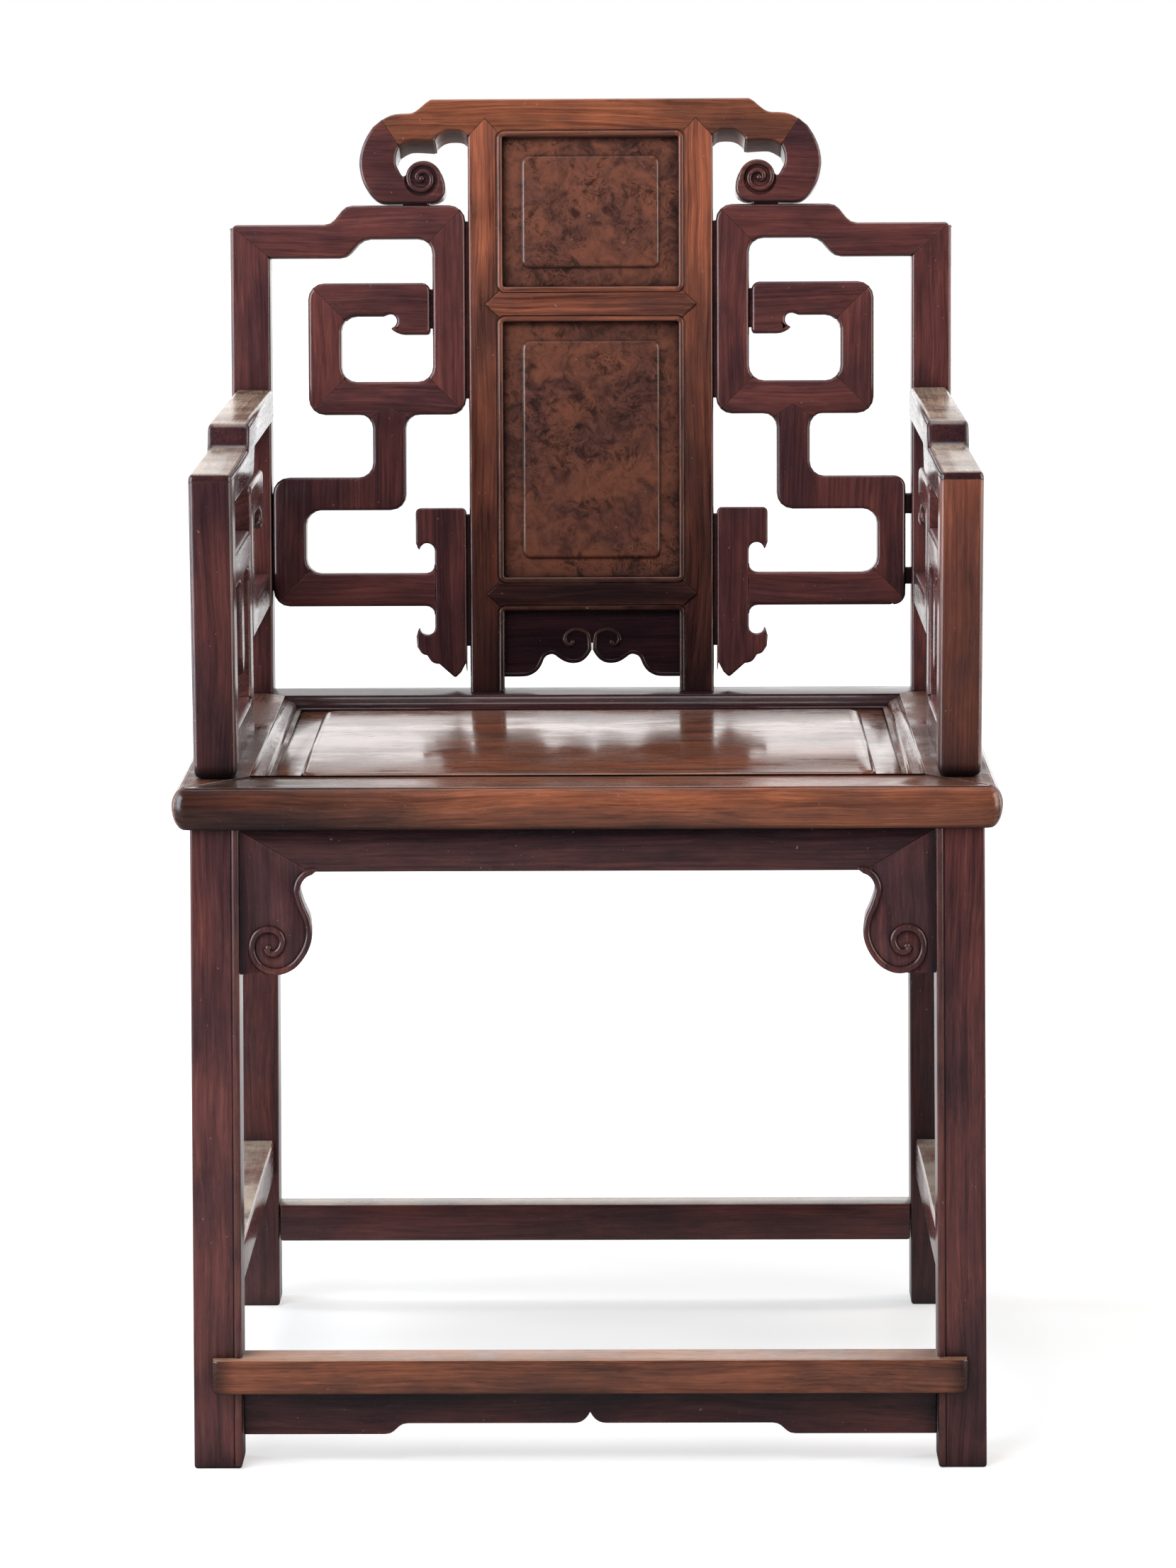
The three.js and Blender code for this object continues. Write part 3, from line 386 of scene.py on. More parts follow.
def smooth_path(points, steps):
    """A curve through all the points"""
    points = [Vector(p) for p in points]
    path = []
    for i, (first, last) in enumerate(zip(points, points[1:])):
        before, after = points[max(i - 1, 0)], points[min(i + 2, len(points) - 1)]
        for step in range(steps):
            t = step / steps
            bend = (2 * before - 5 * first + 4 * last - after) * t * t
            turn = (3 * first - before - 3 * last + after) * t * t * t
            path.append((2 * first + (last - before) * t + bend + turn) * 0.5)
    path.append(points[-1])
    return path


def ridge(name, path, width, place, rise=0.5, sink=0.0, closed=False, taper=None):
    """A round bar along a path, made flatter or fuller by its rise"""
    bpy.ops.curve.primitive_nurbs_path_add(location=(0, 0, 0))
    curve = bpy.context.object
    curve.name = name
    shape = curve.data
    shape.splines.clear()
    line = shape.splines.new("POLY")
    line.points.add(len(path) - 1)
    line.use_cyclic_u = closed
    for i, (point, spot) in enumerate(zip(line.points, path)):
        point.co = (spot[0], 0, spot[1], 1)
        point.radius = taper(i / (len(path) - 1)) if taper else 1
    shape.bevel_depth = width / 2
    shape.bevel_resolution = 4
    shape.use_fill_caps = not closed
    activate(curve)
    bpy.ops.object.convert(target="MESH")
    piece = bpy.context.object
    piece.data.transform(place @ Matrix.Translation((0, sink, 0)) @ Matrix.Diagonal((1, rise * 2, 1, 1)))
    with editing(piece):
        bpy.ops.mesh.remove_doubles(threshold=0.01 * mm)
        bpy.ops.mesh.normals_make_consistent(inside=False)
    piece.data.materials.clear()
    return piece


def offset_path(path, distance):
    """The path moved sideways: to the right of its way, seen from the front, for a positive distance"""
    moved = []
    for i, (x, z) in enumerate(path):
        before, after = path[max(i - 1, 0)], path[min(i + 1, len(path) - 1)]
        way = Vector((after[0] - before[0], after[1] - before[1])).normalized()
        moved.append((x + way.y * distance, z - way.x * distance))
    return moved


def trim(piece, outline, place):
    """Cut away what stands inside an outline, from before the face to far behind it"""
    before, deep = -0.01, 0.06
    bpy.ops.mesh.primitive_circle_add(vertices=len(outline), fill_type="NGON", location=(0, 0, 0))
    cutter = bpy.context.object
    for vertex, (x, z) in zip(cutter.data.vertices, outline):
        vertex.co = (x, before, z)
    with editing(cutter):
        bpy.ops.mesh.extrude_region_move(TRANSFORM_OT_translate={"value": (0, deep, 0)})
        bpy.ops.mesh.select_all(action="SELECT")
        bpy.ops.mesh.normals_make_consistent(inside=False)
    cutter.data.transform(place)
    cut(piece, cutter)


def groove(piece, path, width, place, depth, closed=False):
    """Cut a rounded groove along a path"""
    cut(piece, ridge("groove", path, width, place, rise=depth / width, closed=closed), crossing=True)


def dot(radius, place, columns=20, rows=12):
    """The small ball in the heart of a scroll"""
    bpy.ops.mesh.primitive_uv_sphere_add(segments=columns, ring_count=rows, radius=radius, location=(0, 0, 0))
    piece = bpy.context.object
    piece.data.transform(place)
    return piece


def rounded_frame(reach, low, top, radius):
    """The outline of an upright rectangle, with its corners rounded"""
    path = []
    foot, head = low + radius, top - radius
    for side, end, start in ((1, foot, -90), (1, head, 0), (-1, head, 90), (-1, foot, 180)):
        for step in range(7):
            angle = math.radians(start + step * 15)
            path.append((side * (reach - radius) + radius * math.cos(angle), end + radius * math.sin(angle)))
    return path


def opening(name, grown):
    """The path round one opening of the splat, moved outwards from its edge"""
    foot, head = {"upper": (330, 452.4), "lower": (93.5, 302.5), "foot": (-60, 67)}[name]
    return rounded_frame(72 * mm + grown, foot * mm - grown, head * mm + grown, 2.2 * mm + grown)


def fine_groove(piece, name):
    """Cut the fine groove outside the bead of an opening"""
    path = opening(name, bpy.context.scene.chair_carving.splat_bead)
    groove(piece, path, 1.8 * mm, back_frame(), 0.9 * mm, closed=True)


def face_depth(node):
    """Where the front of a piece of the back stands in the back's frame"""
    back = back_frame().inverted()
    return min((back @ v.co).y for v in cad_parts[node].data.vertices)


# Shader building
def fill(made, inputs):
    """Give a node its inputs, each a value or the output of another node"""
    for name, value in inputs.items():
        if isinstance(value, bpy.types.NodeSocket):
            made.id_data.links.new(value, made.inputs[name])
        else:
            made.inputs[name].default_value = value
    return made


def add_node(tree, kind, inputs=None, **settings):
    made = tree.nodes.new(kind)
    for name, value in settings.items():
        setattr(made, name, value)
    return fill(made, inputs or {})


def follow(kind, inputs, output=0, **settings):
    """Add a node to the tree of the outputs that feed it, and give one of its own outputs"""
    tree = next(value.id_data for value in inputs.values() if isinstance(value, bpy.types.NodeSocket))
    return add_node(tree, kind, inputs, **settings).outputs[output]


def maths(operation, first, second, clamp=False):
    return follow("ShaderNodeMath", {0: first, 1: second}, operation=operation, use_clamp=clamp)


def plus(first, second, clamp=False):
    return maths("ADD", first, second, clamp)


def times(first, second, clamp=False):
    return maths("MULTIPLY", first, second, clamp)


def vector_maths(operation, first, second=(0, 0, 0), output="Vector"):
    return follow("ShaderNodeVectorMath", {0: first, 1: second}, output, operation=operation)


def stretch(vector, scale):
    return vector_maths("MULTIPLY", vector, scale)


def noise(vector, scale=1.0, detail=2.0, rough=0.5, twist=0.0, output="Fac"):
    inputs = {"Vector": vector, "Scale": scale, "Detail": detail, "Roughness": rough, "Distortion": twist}
    return follow("ShaderNodeTexNoise", inputs, output)


def span(value, low, high, to_low=0.0, to_high=1.0):
    inputs = {"Value": value, "From Min": low, "From Max": high, "To Min": to_low, "To Max": to_high}
    return follow("ShaderNodeMapRange", inputs, "Result", interpolation_type="SMOOTHSTEP")


def mix(factor, first, second, blend="MIX"):
    """Mix two colours, each an output or three values"""
    first, second = (c if isinstance(c, bpy.types.NodeSocket) else (*c, 1) for c in (first, second))
    return follow("ShaderNodeMix", {0: factor, 6: first, 7: second}, 2, data_type="RGBA", blend_type=blend)


def empty_tree(owner):
    owner.use_nodes = True
    owner.node_tree.nodes.clear()
    return owner.node_tree


def new_group(name, inputs, outputs):
    """Start a node group; an input without a default is a vector"""
    tree = bpy.data.node_groups.new(name, "ShaderNodeTree")
    for label, default in inputs.items():
        kind = "NodeSocketVector" if default is None else "NodeSocketFloat"
        socket = tree.interface.new_socket(label, in_out="INPUT", socket_type=kind)
        if default is not None:
            socket.default_value = default
    for label in outputs:
        tree.interface.new_socket(label, in_out="OUTPUT", socket_type="NodeSocketFloat")
    return tree.nodes.new("NodeGroupInput").outputs, tree.nodes.new("NodeGroupOutput")


def figure_group():
    """Growth rings seen along the board, fine streaks and open pores"""
    inputs = {"Grain": None, "Rings": 130.0, "Wander": 2.2}
    given, end = new_group("timber figure", inputs, ("Figure", "Streaks", "Pores", "Patches"))
    straight = given["Grain"]
    drift = noise(stretch(straight, (5, 9, 9)), output="Color")
    centred = vector_maths("SUBTRACT", drift, (0.5, 0.5, 0.5))
    grain = vector_maths("ADD", stretch(centred, (0, 0.02, 0.02)), straight)
    across = vector_maths("LENGTH", stretch(grain, (0, 1, 1)), output="Value")
    sway = noise(stretch(grain, (2.6, 14, 14)))
    turn = times(maths("SUBTRACT", sway, 0.5), given["Wander"])
    rings = {"W": plus(times(across, given["Rings"]), turn), "Scale": 1.6, "Detail": 3, "Roughness": 0.6}
    band = follow("ShaderNodeTexNoise", rings, "Fac", noise_dimensions="1D")
    soft = noise(stretch(grain, (4, 75, 75)), detail=4, rough=0.65)
    fine = noise(stretch(grain, (9, 520, 520)), detail=3, rough=0.7)
    dashes = noise(stretch(grain, (75, 1400, 1400)), detail=1)
    clouds = noise(stretch(straight, (9, 26, 26)), detail=5, rough=0.62)
    made = {
        "Figure": span(plus(times(band, 0.45), times(soft, 0.55)), 0.34, 0.66),
        "Streaks": span(fine, 0.3, 0.7),
        "Pores": span(dashes, 0.6, 0.72),
        "Patches": span(clouds, 0.32, 0.68),
    }
    return fill(end, made).id_data


def wear_and_shade_group():
    """Rubbed corners, small nicks, dust on upper faces, old wax with painted shade in the corners, and
    painted shade on faces that look down
    """
    inputs = {"Place": None, "Reach": 0.014}
    given, end = new_group("wear", inputs, ("Rubbed", "Nicks", "Dust", "Grime", "Under"))
    tree, place = end.id_data, given["Place"]
    patches = noise(place, 38, 3, 0.6)
    inwards = add_node(tree, "ShaderNodeAmbientOcclusion", {"Distance": 0.0022}, samples=4, inside=True)
    edge = span(inwards.outputs["AO"], 0.45, 0.85, 1, 0)
    # Painted shade: hollows found by ambient occlusion get darker, together with old wax
    hollow = follow("ShaderNodeAmbientOcclusion", {"Distance": given["Reach"]}, "AO", samples=5)
    shade_mask = span(hollow, 0.35, 0.95, 1, 0)
    normal = tree.nodes.new("ShaderNodeNewGeometry").outputs["Normal"]
    up = follow("ShaderNodeSeparateXYZ", {0: normal}, "Z")
    cloud = noise(place, 22, 5, 0.62)
    made = {
        "Rubbed": times(edge, span(patches, 0.35, 0.62)),
        "Nicks": span(noise(place, 330), 0.745, 0.77),
        "Dust": times(span(up, 0.78, 0.96), span(cloud, 0.3, 0.62, 0.2, 1)),
        # Painted shade and old wax in the hollows, and painted shade on faces that look down
        "Grime": times(shade_mask, span(patches, 0.2, 0.7, 0.55, 1)),
        "Under": span(up, -0.9, -0.5, 1, 0),
    }
    return fill(end, made).id_data


def burl_group():
    """Swirling burl with clustered eyes"""
    given, end = new_group("burl figure", {"Place": None}, ("Swirl", "Eyes", "Clouds"))
    place = given["Place"]
    bent = vector_maths("ADD", place, stretch(noise(place, 42, 3, output="Color"), (0.03, 0.03, 0.03)))
    swirl = noise(bent, 120, 9, 0.82, 0.8)
    crowd = noise(place, 34)
    cells = follow("ShaderNodeTexVoronoi", {"Vector": bent, "Scale": 400}, "Distance")
    dots = times(span(cells, 0.2, 0.5, 0.8, 0), span(crowd, 0.52, 0.64))
    blotch = span(noise(bent, 115, 3, 0.6), 0.5, 0.66)
    made = {
        "Swirl": span(swirl, 0.38, 0.62),
        "Eyes": maths("MAXIMUM", dots, times(blotch, span(crowd, 0.36, 0.6, 0.2, 0.85))),
        "Clouds": span(noise(bent, 30, 6, 0.7), 0.36, 0.66),
    }
    return fill(end, made).id_data


groups = {}


def attribute(tree, name, output):
    return add_node(tree, "ShaderNodeAttribute", attribute_name=name).outputs[output]


def place_group(tree, name, inputs):
    """Place a node group in a material; the first use builds it"""
    if name not in groups:
        groups[name] = {"figure": figure_group, "wear": wear_and_shade_group, "burl": burl_group}[name]()
    return add_node(tree, "ShaderNodeGroup", inputs, node_tree=groups[name]).outputs


def start_material(name):
    material = bpy.data.materials.new(name)
    tree = empty_tree(material)
    shader = tree.nodes.new("ShaderNodeBsdfPrincipled")
    add_node(tree, "ShaderNodeOutputMaterial", {"Surface": shader.outputs[0]})
    return material, tree, shader


def worn(shader, colour, gloss, wear, dust, dust_colour, height, bump, dulling=0.2, grime_and_shade_share=0.92):
    """Lay rubbed edges, nicks, dust, and old wax with painted shade in hollows and on faces that look down,
    over a finish, and feed its shader
    """
    finish = bpy.context.scene.chair_finish
    rubbed = mix(times(wear["Rubbed"], 0.3), colour, finish.rubbed)
    nicked = mix(times(wear["Nicks"], 0.4), rubbed, finish.dust)
    # Painted shade: hollows and faces that look down are darkened with the grime colour
    shade_mask = maths("MAXIMUM", wear["Grime"], times(wear["Under"], 0.6))
    waxed_and_shaded = mix(times(shade_mask, grime_and_shade_share), nicked, finish.grime)
    dull = plus(times(wear["Dust"], dulling), times(wear["Under"], 0.45))
    raised = follow("ShaderNodeBump", {"Height": height, "Strength": bump, "Distance": 0.0003})
    powdered = mix(times(wear["Dust"], dust), waxed_and_shaded, dust_colour)
    fill(shader, {"Base Color": powdered, "Roughness": plus(gloss, dull, True), "Normal": raised})


def timber(name, body, vein, dust, rough, stripes, contrast, bump=0.06, dulling=0.2, bare=None):
    """A rosewood whose upper faces turn bare; stripes is the share of broad figure in it"""
    material, tree, shader = start_material(name)
    bare = bare or bpy.context.scene.chair_finish.dust
    grain, tone = attribute(tree, "grain", "Vector"), attribute(tree, "tone", "Fac")
    figure = place_group(tree, "figure", {"Grain": grain})
    wear = place_group(tree, "wear", {"Place": grain, "Reach": 0.022})
    dark = [b + (v - b) * contrast for b, v in zip(body, vein)]
    glow = [b * (1 + contrast * more) for b, more in zip(body, (0.9, 0.85, 0.65))]
    share = plus(times(figure["Figure"], stripes), times(figure["Streaks"], 1 - stripes))
    base = mix(span(share, 0.05, 0.55), dark, body)
    lit = mix(span(share, 0.5, 1.0), base, glow)
    pored = mix(times(figure["Pores"], 0.4), lit, [v * 0.5 for v in vein])
    tint = mix(figure["Patches"], (0.62, 0.66, 0.76), (1.42, 1.3, 1.16))
    clouded = mix(1.0, pored, tint, "MULTIPLY")
    deep = mix(1.0, clouded, (0.18, 0.2, 0.3), "MULTIPLY")
    bright = mix(1.0, clouded, (1.7, 1.6, 1.4), "MULTIPLY")
    # The tone darkens or lightens the timber; on some pieces it is painted shade
    darker = mix(times(tone, -0.6, clamp=True), clouded, deep)
    toned = mix(times(tone, 0.7, clamp=True), darker, bright)
    broken = plus(times(figure["Streaks"], 0.08), times(figure["Pores"], 0.15))
    gloss = plus(span(figure["Patches"], 0, 1, rough + 0.03, rough - 0.06), broken)
    height = maths("SUBTRACT", times(figure["Streaks"], 0.35), figure["Pores"])
    powder = mix(share, [part * 0.45 for part in bare], bare)
    lighter = mix(times(tone, 0.5, clamp=True), powder, (0.95, 0.8, 0.66))
    marked = mix(times(figure["Pores"], 0.45), lighter, vein)
    worn(shader, toned, gloss, wear, dust, marked, height, bump, dulling)
    return material


def burl_material():
    finish = bpy.context.scene.chair_finish
    material, tree, shader = start_material("burl")
    place = tree.nodes.new("ShaderNodeTexCoord").outputs["Object"]
    burl = place_group(tree, "burl", {"Place": place})
    wear = place_group(tree, "wear", {"Place": place, "Reach": 0.02})
    tone = attribute(tree, "tone", "Fac")
    pale = [c * share for c, share in zip(finish.burl, (2.1, 1.75, 1.2))]
    base = mix(burl["Swirl"], [c * 0.42 for c in finish.burl], finish.burl)
    lit = mix(times(burl["Clouds"], 0.55), base, pale)
    eyed = mix(times(burl["Eyes"], 0.8), lit, finish.burl_knot)
    bright = mix(1.0, eyed, (1.5, 1.5, 1.5), "MULTIPLY")
    toned = mix(times(tone, 1.0, clamp=True), eyed, bright)
    gloss = span(burl["Swirl"], 0, 1, 0.26, 0.16)
    height = maths("SUBTRACT", times(burl["Swirl"], 0.4), burl["Eyes"])
    worn(shader, toned, gloss, wear, 0.0, finish.dust, height, 0.1, grime_and_shade_share=1.0)
    return material


materials = {}


def material(name):
    """The named finish; the first piece that asks for it has it made"""
    if name in materials:
        return materials[name]
    finish = bpy.context.scene.chair_finish
    plum, plum_vein = finish.plum, finish.plum_vein
    amber, amber_vein = finish.amber, finish.amber_vein
    red = [(p + 2 * a) / 3 for p, a in zip(plum, amber)]
    middle = [(p + a) / 2 for p, a in zip(plum, amber)]
    brown = [part * 0.6 for part in amber]
    # Name, body, veins, dust, roughness, share of stripes, contrast, bump, dulling by dust, bare timber
    timbers = {
        "plum": ("dark rosewood", plum, plum_vein, 0.0, 0.2, 0.45, 0.55),
        "amber": ("warm rosewood", amber, amber_vein, 0.0, 0.2, 0.45, 0.6),
        "stile": ("red rosewood", red, amber_vein, 0.0, 0.2, 0.55, 0.85),
        "post": ("arm post rosewood", middle, amber_vein, 0.0, 0.2, 0.5, 0.5),
        "polished": ("polished rosewood", amber, amber_vein, 0.1, 0.1, 0.35, 0.8, 0.005, 0.05),
        "rail": ("seat rosewood", amber, amber_vein, 0.3, 0.12, 0.35, 0.6, 0.005, 0.4, brown),
        "lip": ("seat front rosewood", amber, amber_vein, 0.1, 0.22, 0.4, 0.6, 0.005, 0.0),
        "shaded": ("shaded rosewood", plum, plum_vein, 0.0, 0.2, 0.3, 0.6, 0.005, 0.0),
        "worn": ("worn rosewood", plum, plum_vein, 1.0, 0.16, 0.35, 0.45, 0.004, 0.04),
        "trodden": ("trodden rosewood", amber, amber_vein, 0.95, 0.24, 0.4, 0.55, 0.05, 0.2, finish.trodden),
    }
    materials[name] = burl_material() if name == "burl" else timber(*timbers[name])
    return materials[name]


def belly(drop):
    """How far the seat's edge stands in at a depth below its top"""
    widest = 14 * mm
    if drop < widest:
        return widest * (1 - math.sqrt(1 - ((widest - drop) / (15.6 * mm)) ** 2))
    return 9.5 * mm * (1 - math.sqrt(max(0, 1 - ((drop - widest) / (18 * mm)) ** 2)))


def round_rail(piece, across):
    """Give the rail a full belly and round the seat's corner in plan"""
    low, high = cad_bounds
    half, front, back = high.x, low.y, high.y

    def insets(point):
        """How far a point stands in from its rail's own outer side, and from the next rail's"""
        edge = front if point.y < 0 else back
        pair = (abs(edge - point.y), half - abs(point.x))
        return pair if across == "y" else (pair[1], pair[0])

    drops = (1, 3, 5, 8, 11, 17, 20, 22, 26, 28, 29.5, 30.7, 31.5)
    slice_at(piece, "z", [seat_top - drop * mm for drop in drops])
    reaches = [seat_corner * share for share in (0.25, 0.5, 0.75, 1)]
    if across == "y":
        slice_at(piece, "x", [side * (half - reach) for reach in reaches for _, side in sides])
    else:
        slice_at(piece, "y", [end for reach in reaches for end in (front + reach, back - reach)])
    outermost = {}
    for vertex in piece.data.vertices:
        level = round(vertex.co.z, 5)
        outermost[level] = min(outermost.get(level, 1), insets(vertex.co)[0])
    inner = []
    for vertex in piece.data.vertices:
        own, other = insets(vertex.co)
        on_mitre = abs(own - other) < 0.45 * mm and own < seat_corner + 0.5 * mm
        inner.append(on_mitre and own > outermost[round(vertex.co.z, 5)] + 0.3 * mm)
    with picked(piece, "VERT", inner):
        bpy.ops.mesh.dissolve_verts()
    for vertex in piece.data.vertices:
        own, run = insets(vertex.co)
        if own > 6 * mm or own > outermost[round(vertex.co.z, 5)] + 0.5 * mm:
            continue
        right, ahead = (1 if vertex.co.x > 0 else -1), (-1 if vertex.co.y < 0 else 1)
        edge = front if ahead < 0 else back
        stand = belly(seat_top - vertex.co.z)
        if run < seat_corner:
            turn = math.radians(45) * (1 - max(0, run - own) / (seat_corner - own))
            run = seat_corner - (seat_corner - stand) * math.sin(turn)
            stand = seat_corner - (seat_corner - stand) * math.cos(turn)
        over, along = (run, stand) if across == "y" else (stand, run)
        vertex.co = (right * (half - over), edge - ahead * along, vertex.co.z)


class CHAIR_OT_seat(bpy.types.Operator):
    """Make the seat frame, its panel and the brace under it"""

    bl_idname = "chair.seat"
    bl_label = "Seat"

    def execute(self, context):
        edges = context.scene.chair_edges
        for name, across in (("front", "y"), ("back", "y"), ("left", "x"), ("right", "x")):
            node = f"seat_{name}_rail"
            piece = copy_solid(node)
            round_rail(piece, across)
            ease_edges(piece, node, 0.5 * mm, segments=2)
            self.quirk(piece)
            along = "x" if across == "y" else "y"
            if name == "front":
                slice_at(piece, "x", (-0.28, -0.2, -0.1, 0, 0.1, 0.2, 0.28))
            tone = {"back": -1.3, "front": self.front_tone}.get(name, -1.0)
            kind = {"back": "shaded", "front": "lip"}.get(name, "rail")
            finish_piece(piece, kind, [node], along, tone=tone, angle=26)
        timber_piece("seat_panel", edges.panel, "polished", "x", tone=-0.6)
        timber_piece("seat_brace", edges.leg, "plum", "y")
        return {"FINISHED"}

    def quirk(self, piece):
        """Cut the fine line between the flat top and the belly, round the corners too"""
        low, high = cad_bounds
        stand = belly(1 * mm)
        path = rounded_frame(high.x - stand, low.y + stand, high.y - stand, seat_corner - stand)
        laid = Matrix.Rotation(math.radians(-90), 4, "X")
        level = Matrix.Translation((0, 0, seat_top - 0.7 * mm)) @ laid
        cut(piece, ridge("quirk", path, 2.15 * mm, level, rise=0.27, closed=True), crossing=True)

    def front_tone(self, spot):
        """Darker at the left end, painted shade under the belly, darker along the top edge and warmer towards
        the right
        """
        x, drop = spot.x, seat_top - spot.z
        side = ramp(x, -0.305, -0.1, -1.7, 0) + ramp(x, -0.1, 0.15, 0, 0.5) - ramp(x, 0.2, 0.3, 0, 0.8)
        return side + ramp(drop, 0.008, 0.03, 0.1, -0.9) + ramp(drop, 0, 0.003, -0.9, 0)


class CHAIR_OT_legs(bpy.types.Operator):
    """Make the four legs, with a bead down the inner edge of the front pair"""

    bl_idname = "chair.legs"
    bl_label = "Legs"

    def execute(self, context):
        edges = context.scene.chair_edges
        bead = context.scene.chair_carving.leg_bead
        for name, side in sides:
            # Painted shade: the rear legs are darkened under the seat, the right one more
            timber_piece(f"rear_{name}_leg", edges.leg, "plum", "z", tone=-0.7 - 0.25 * side)
            front = f"front_{name}_leg"
            low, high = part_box(front)
            splay = (high.x - low.x) - (high.y - low.y)
            inner = low.x if side > 0 else high.x
            foot = inner + side * (splay + bead / 2)
            head = inner + side * bead / 2
            piece = eased(front, edges.leg)
            beside = side * (bead / 2 + 0.3 * mm)
            face = upright_frame(low.y)
            channel = [(foot + beside, low.z - 5 * mm), (head + beside, high.z + 5 * mm)]
            groove(piece, channel, 1.1 * mm, face, 0.6 * mm)
            run = [(foot, low.z + 2.5 * mm), (head, high.z)]
            join(piece, ridge(f"{name}_leg_bead", run, bead, face, rise=0.3, sink=0.2 * mm))
            # Painted shade: the right front leg is darker than the left
            finish_piece(piece, "plum", [front], tone=-0.1 - 0.15 * side)
        return {"FINISHED"}


class CHAIR_OT_aprons(bpy.types.Operator):
    """Make the aprons under the seat and the scrolled brackets"""

    bl_idname = "chair.aprons"
    bl_label = "Aprons and brackets"

    def execute(self, context):
        edges = context.scene.chair_edges
        width = context.scene.chair_carving.scroll_bead
        turns = [
            (198.4, 458.3), (203.2, 456.7), (208, 454.4), (211.8, 450), (213.8, 443.6), (212.8, 437.1),
            (210.2, 429.1), (206.8, 421.1), (205.2, 412.2), (206.4, 403.2), (210.6, 394.2), (217.4, 386.2),
            (226.6, 381.8), (235.7, 382.4), (242.8, 387), (246.8, 394.4), (247.2, 402.7), (244.2, 409.6),
            (238.2, 413.1), (231.1, 412.8), (226.4, 409.1), (224.9, 403.5), (227.1, 397.8), (231.4, 395),
            (235.6, 396.3), (236.6, 399.3),
        ]
        # Painted shadow under the seat: each apron darkens towards its top
        timber_piece("front_apron", edges.leg * 0.5, "plum", "x", tone=(-0.5, -1.6))
        timber_piece("back_apron", edges.leg * 0.5, "plum", "x", tone=(0, -1))
        for name, side in sides:
            timber_piece(f"{name}_apron", edges.leg * 0.5, "plum", "y", tone=(0, -1))
            node = f"front_{name}_bracket"
            low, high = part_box(node)
            face = upright_frame(low.y)
            path = smooth_path(laid_out(turns, side), 4)
            piece = copy_solid(node)
            run = offset_path(path[4:49], side * width * 0.35)
            corner = (side * 190 * mm, 370 * mm)
            trim(piece, run + [(run[-1][0], corner[1]), corner, (corner[0], run[0][1])], face)
            groove(piece, path[8:], width * 1.2, face, 0.5 * mm)
            line = ridge(
                f"{name}_scroll",
                path,
                width,
                face,
                sink=0.3 * mm,
                taper=lambda share: min(1, 0.2 + share * 20),
            )
            heart = dot(2.6 * mm, face @ Matrix.Translation((side * 235.2 * mm, 0.4 * mm, 399.6 * mm)))
            join(piece, line, heart)
            # Painted shade beside the leg: the bracket darkens within 14 mm of it
            leg = max(abs(low.x), abs(high.x))
            slice_at(piece, "x", [side * (leg - reach * mm) for reach in (2, 6, 14)])
            finish_piece(piece, "plum", [node], tone=fade(leg, 0, 14 * mm, -1.8, -0.1))
        return {"FINISHED"}


class CHAIR_OT_stretchers(bpy.types.Operator):
    """Make the footrest, its apron and the stretchers"""

    bl_idname = "chair.stretchers"
    bl_label = "Footrest and stretchers"

    def execute(self, context):
        edges = context.scene.chair_edges
        self.footrest()
        # Painted shadow under the footrest board: its apron darkens towards the top
        timber_piece("footrest_apron", edges.leg * 0.5, "plum", "x", tone=(-0.5, -1.3))
        timber_piece("back_stretcher", edges.leg, "worn", "x", tone=-0.2)
        for name in ("left", "right"):
            timber_piece(f"{name}_stretcher", edges.leg, "worn", "y", tone=(-0.6, 1.8))
        return {"FINISHED"}

    def footrest(self):
        """The board, its underside rounded more than its top"""
        node = "footrest_board"
        low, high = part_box(node)
        piece = copy_solid(node)
        level = low.z + 8 * mm
        with editing(piece):
            bpy.ops.mesh.bisect(plane_co=(0, 0, level), plane_no=(0, 0, 1), clear_inner=True, use_fill=True)
        for vertex in piece.data.vertices:
            if vertex.co.z < level + 0.1 * mm:
                vertex.co.z = low.z
        middle, upper_width, lower_width = (high.z + low.z) / 2, 1.5 * mm, 4 * mm
        ease_edges(
            piece,
            node,
            lower_width,
            own_width=lambda edge: upper_width if edge.verts[0].co.z > middle else None,
        )
        # Painted shade on the rounded ends of the board: darkest at each end, fading over 18 mm
        half = high.x
        slice_at(piece, "x", [side * (half - near) for near in (7 * mm, 18 * mm) for _, side in sides])
        finish_piece(piece, "trodden", [node], along="x", tone=fade(half, 4 * mm, 18 * mm, -1.6, -0.3))


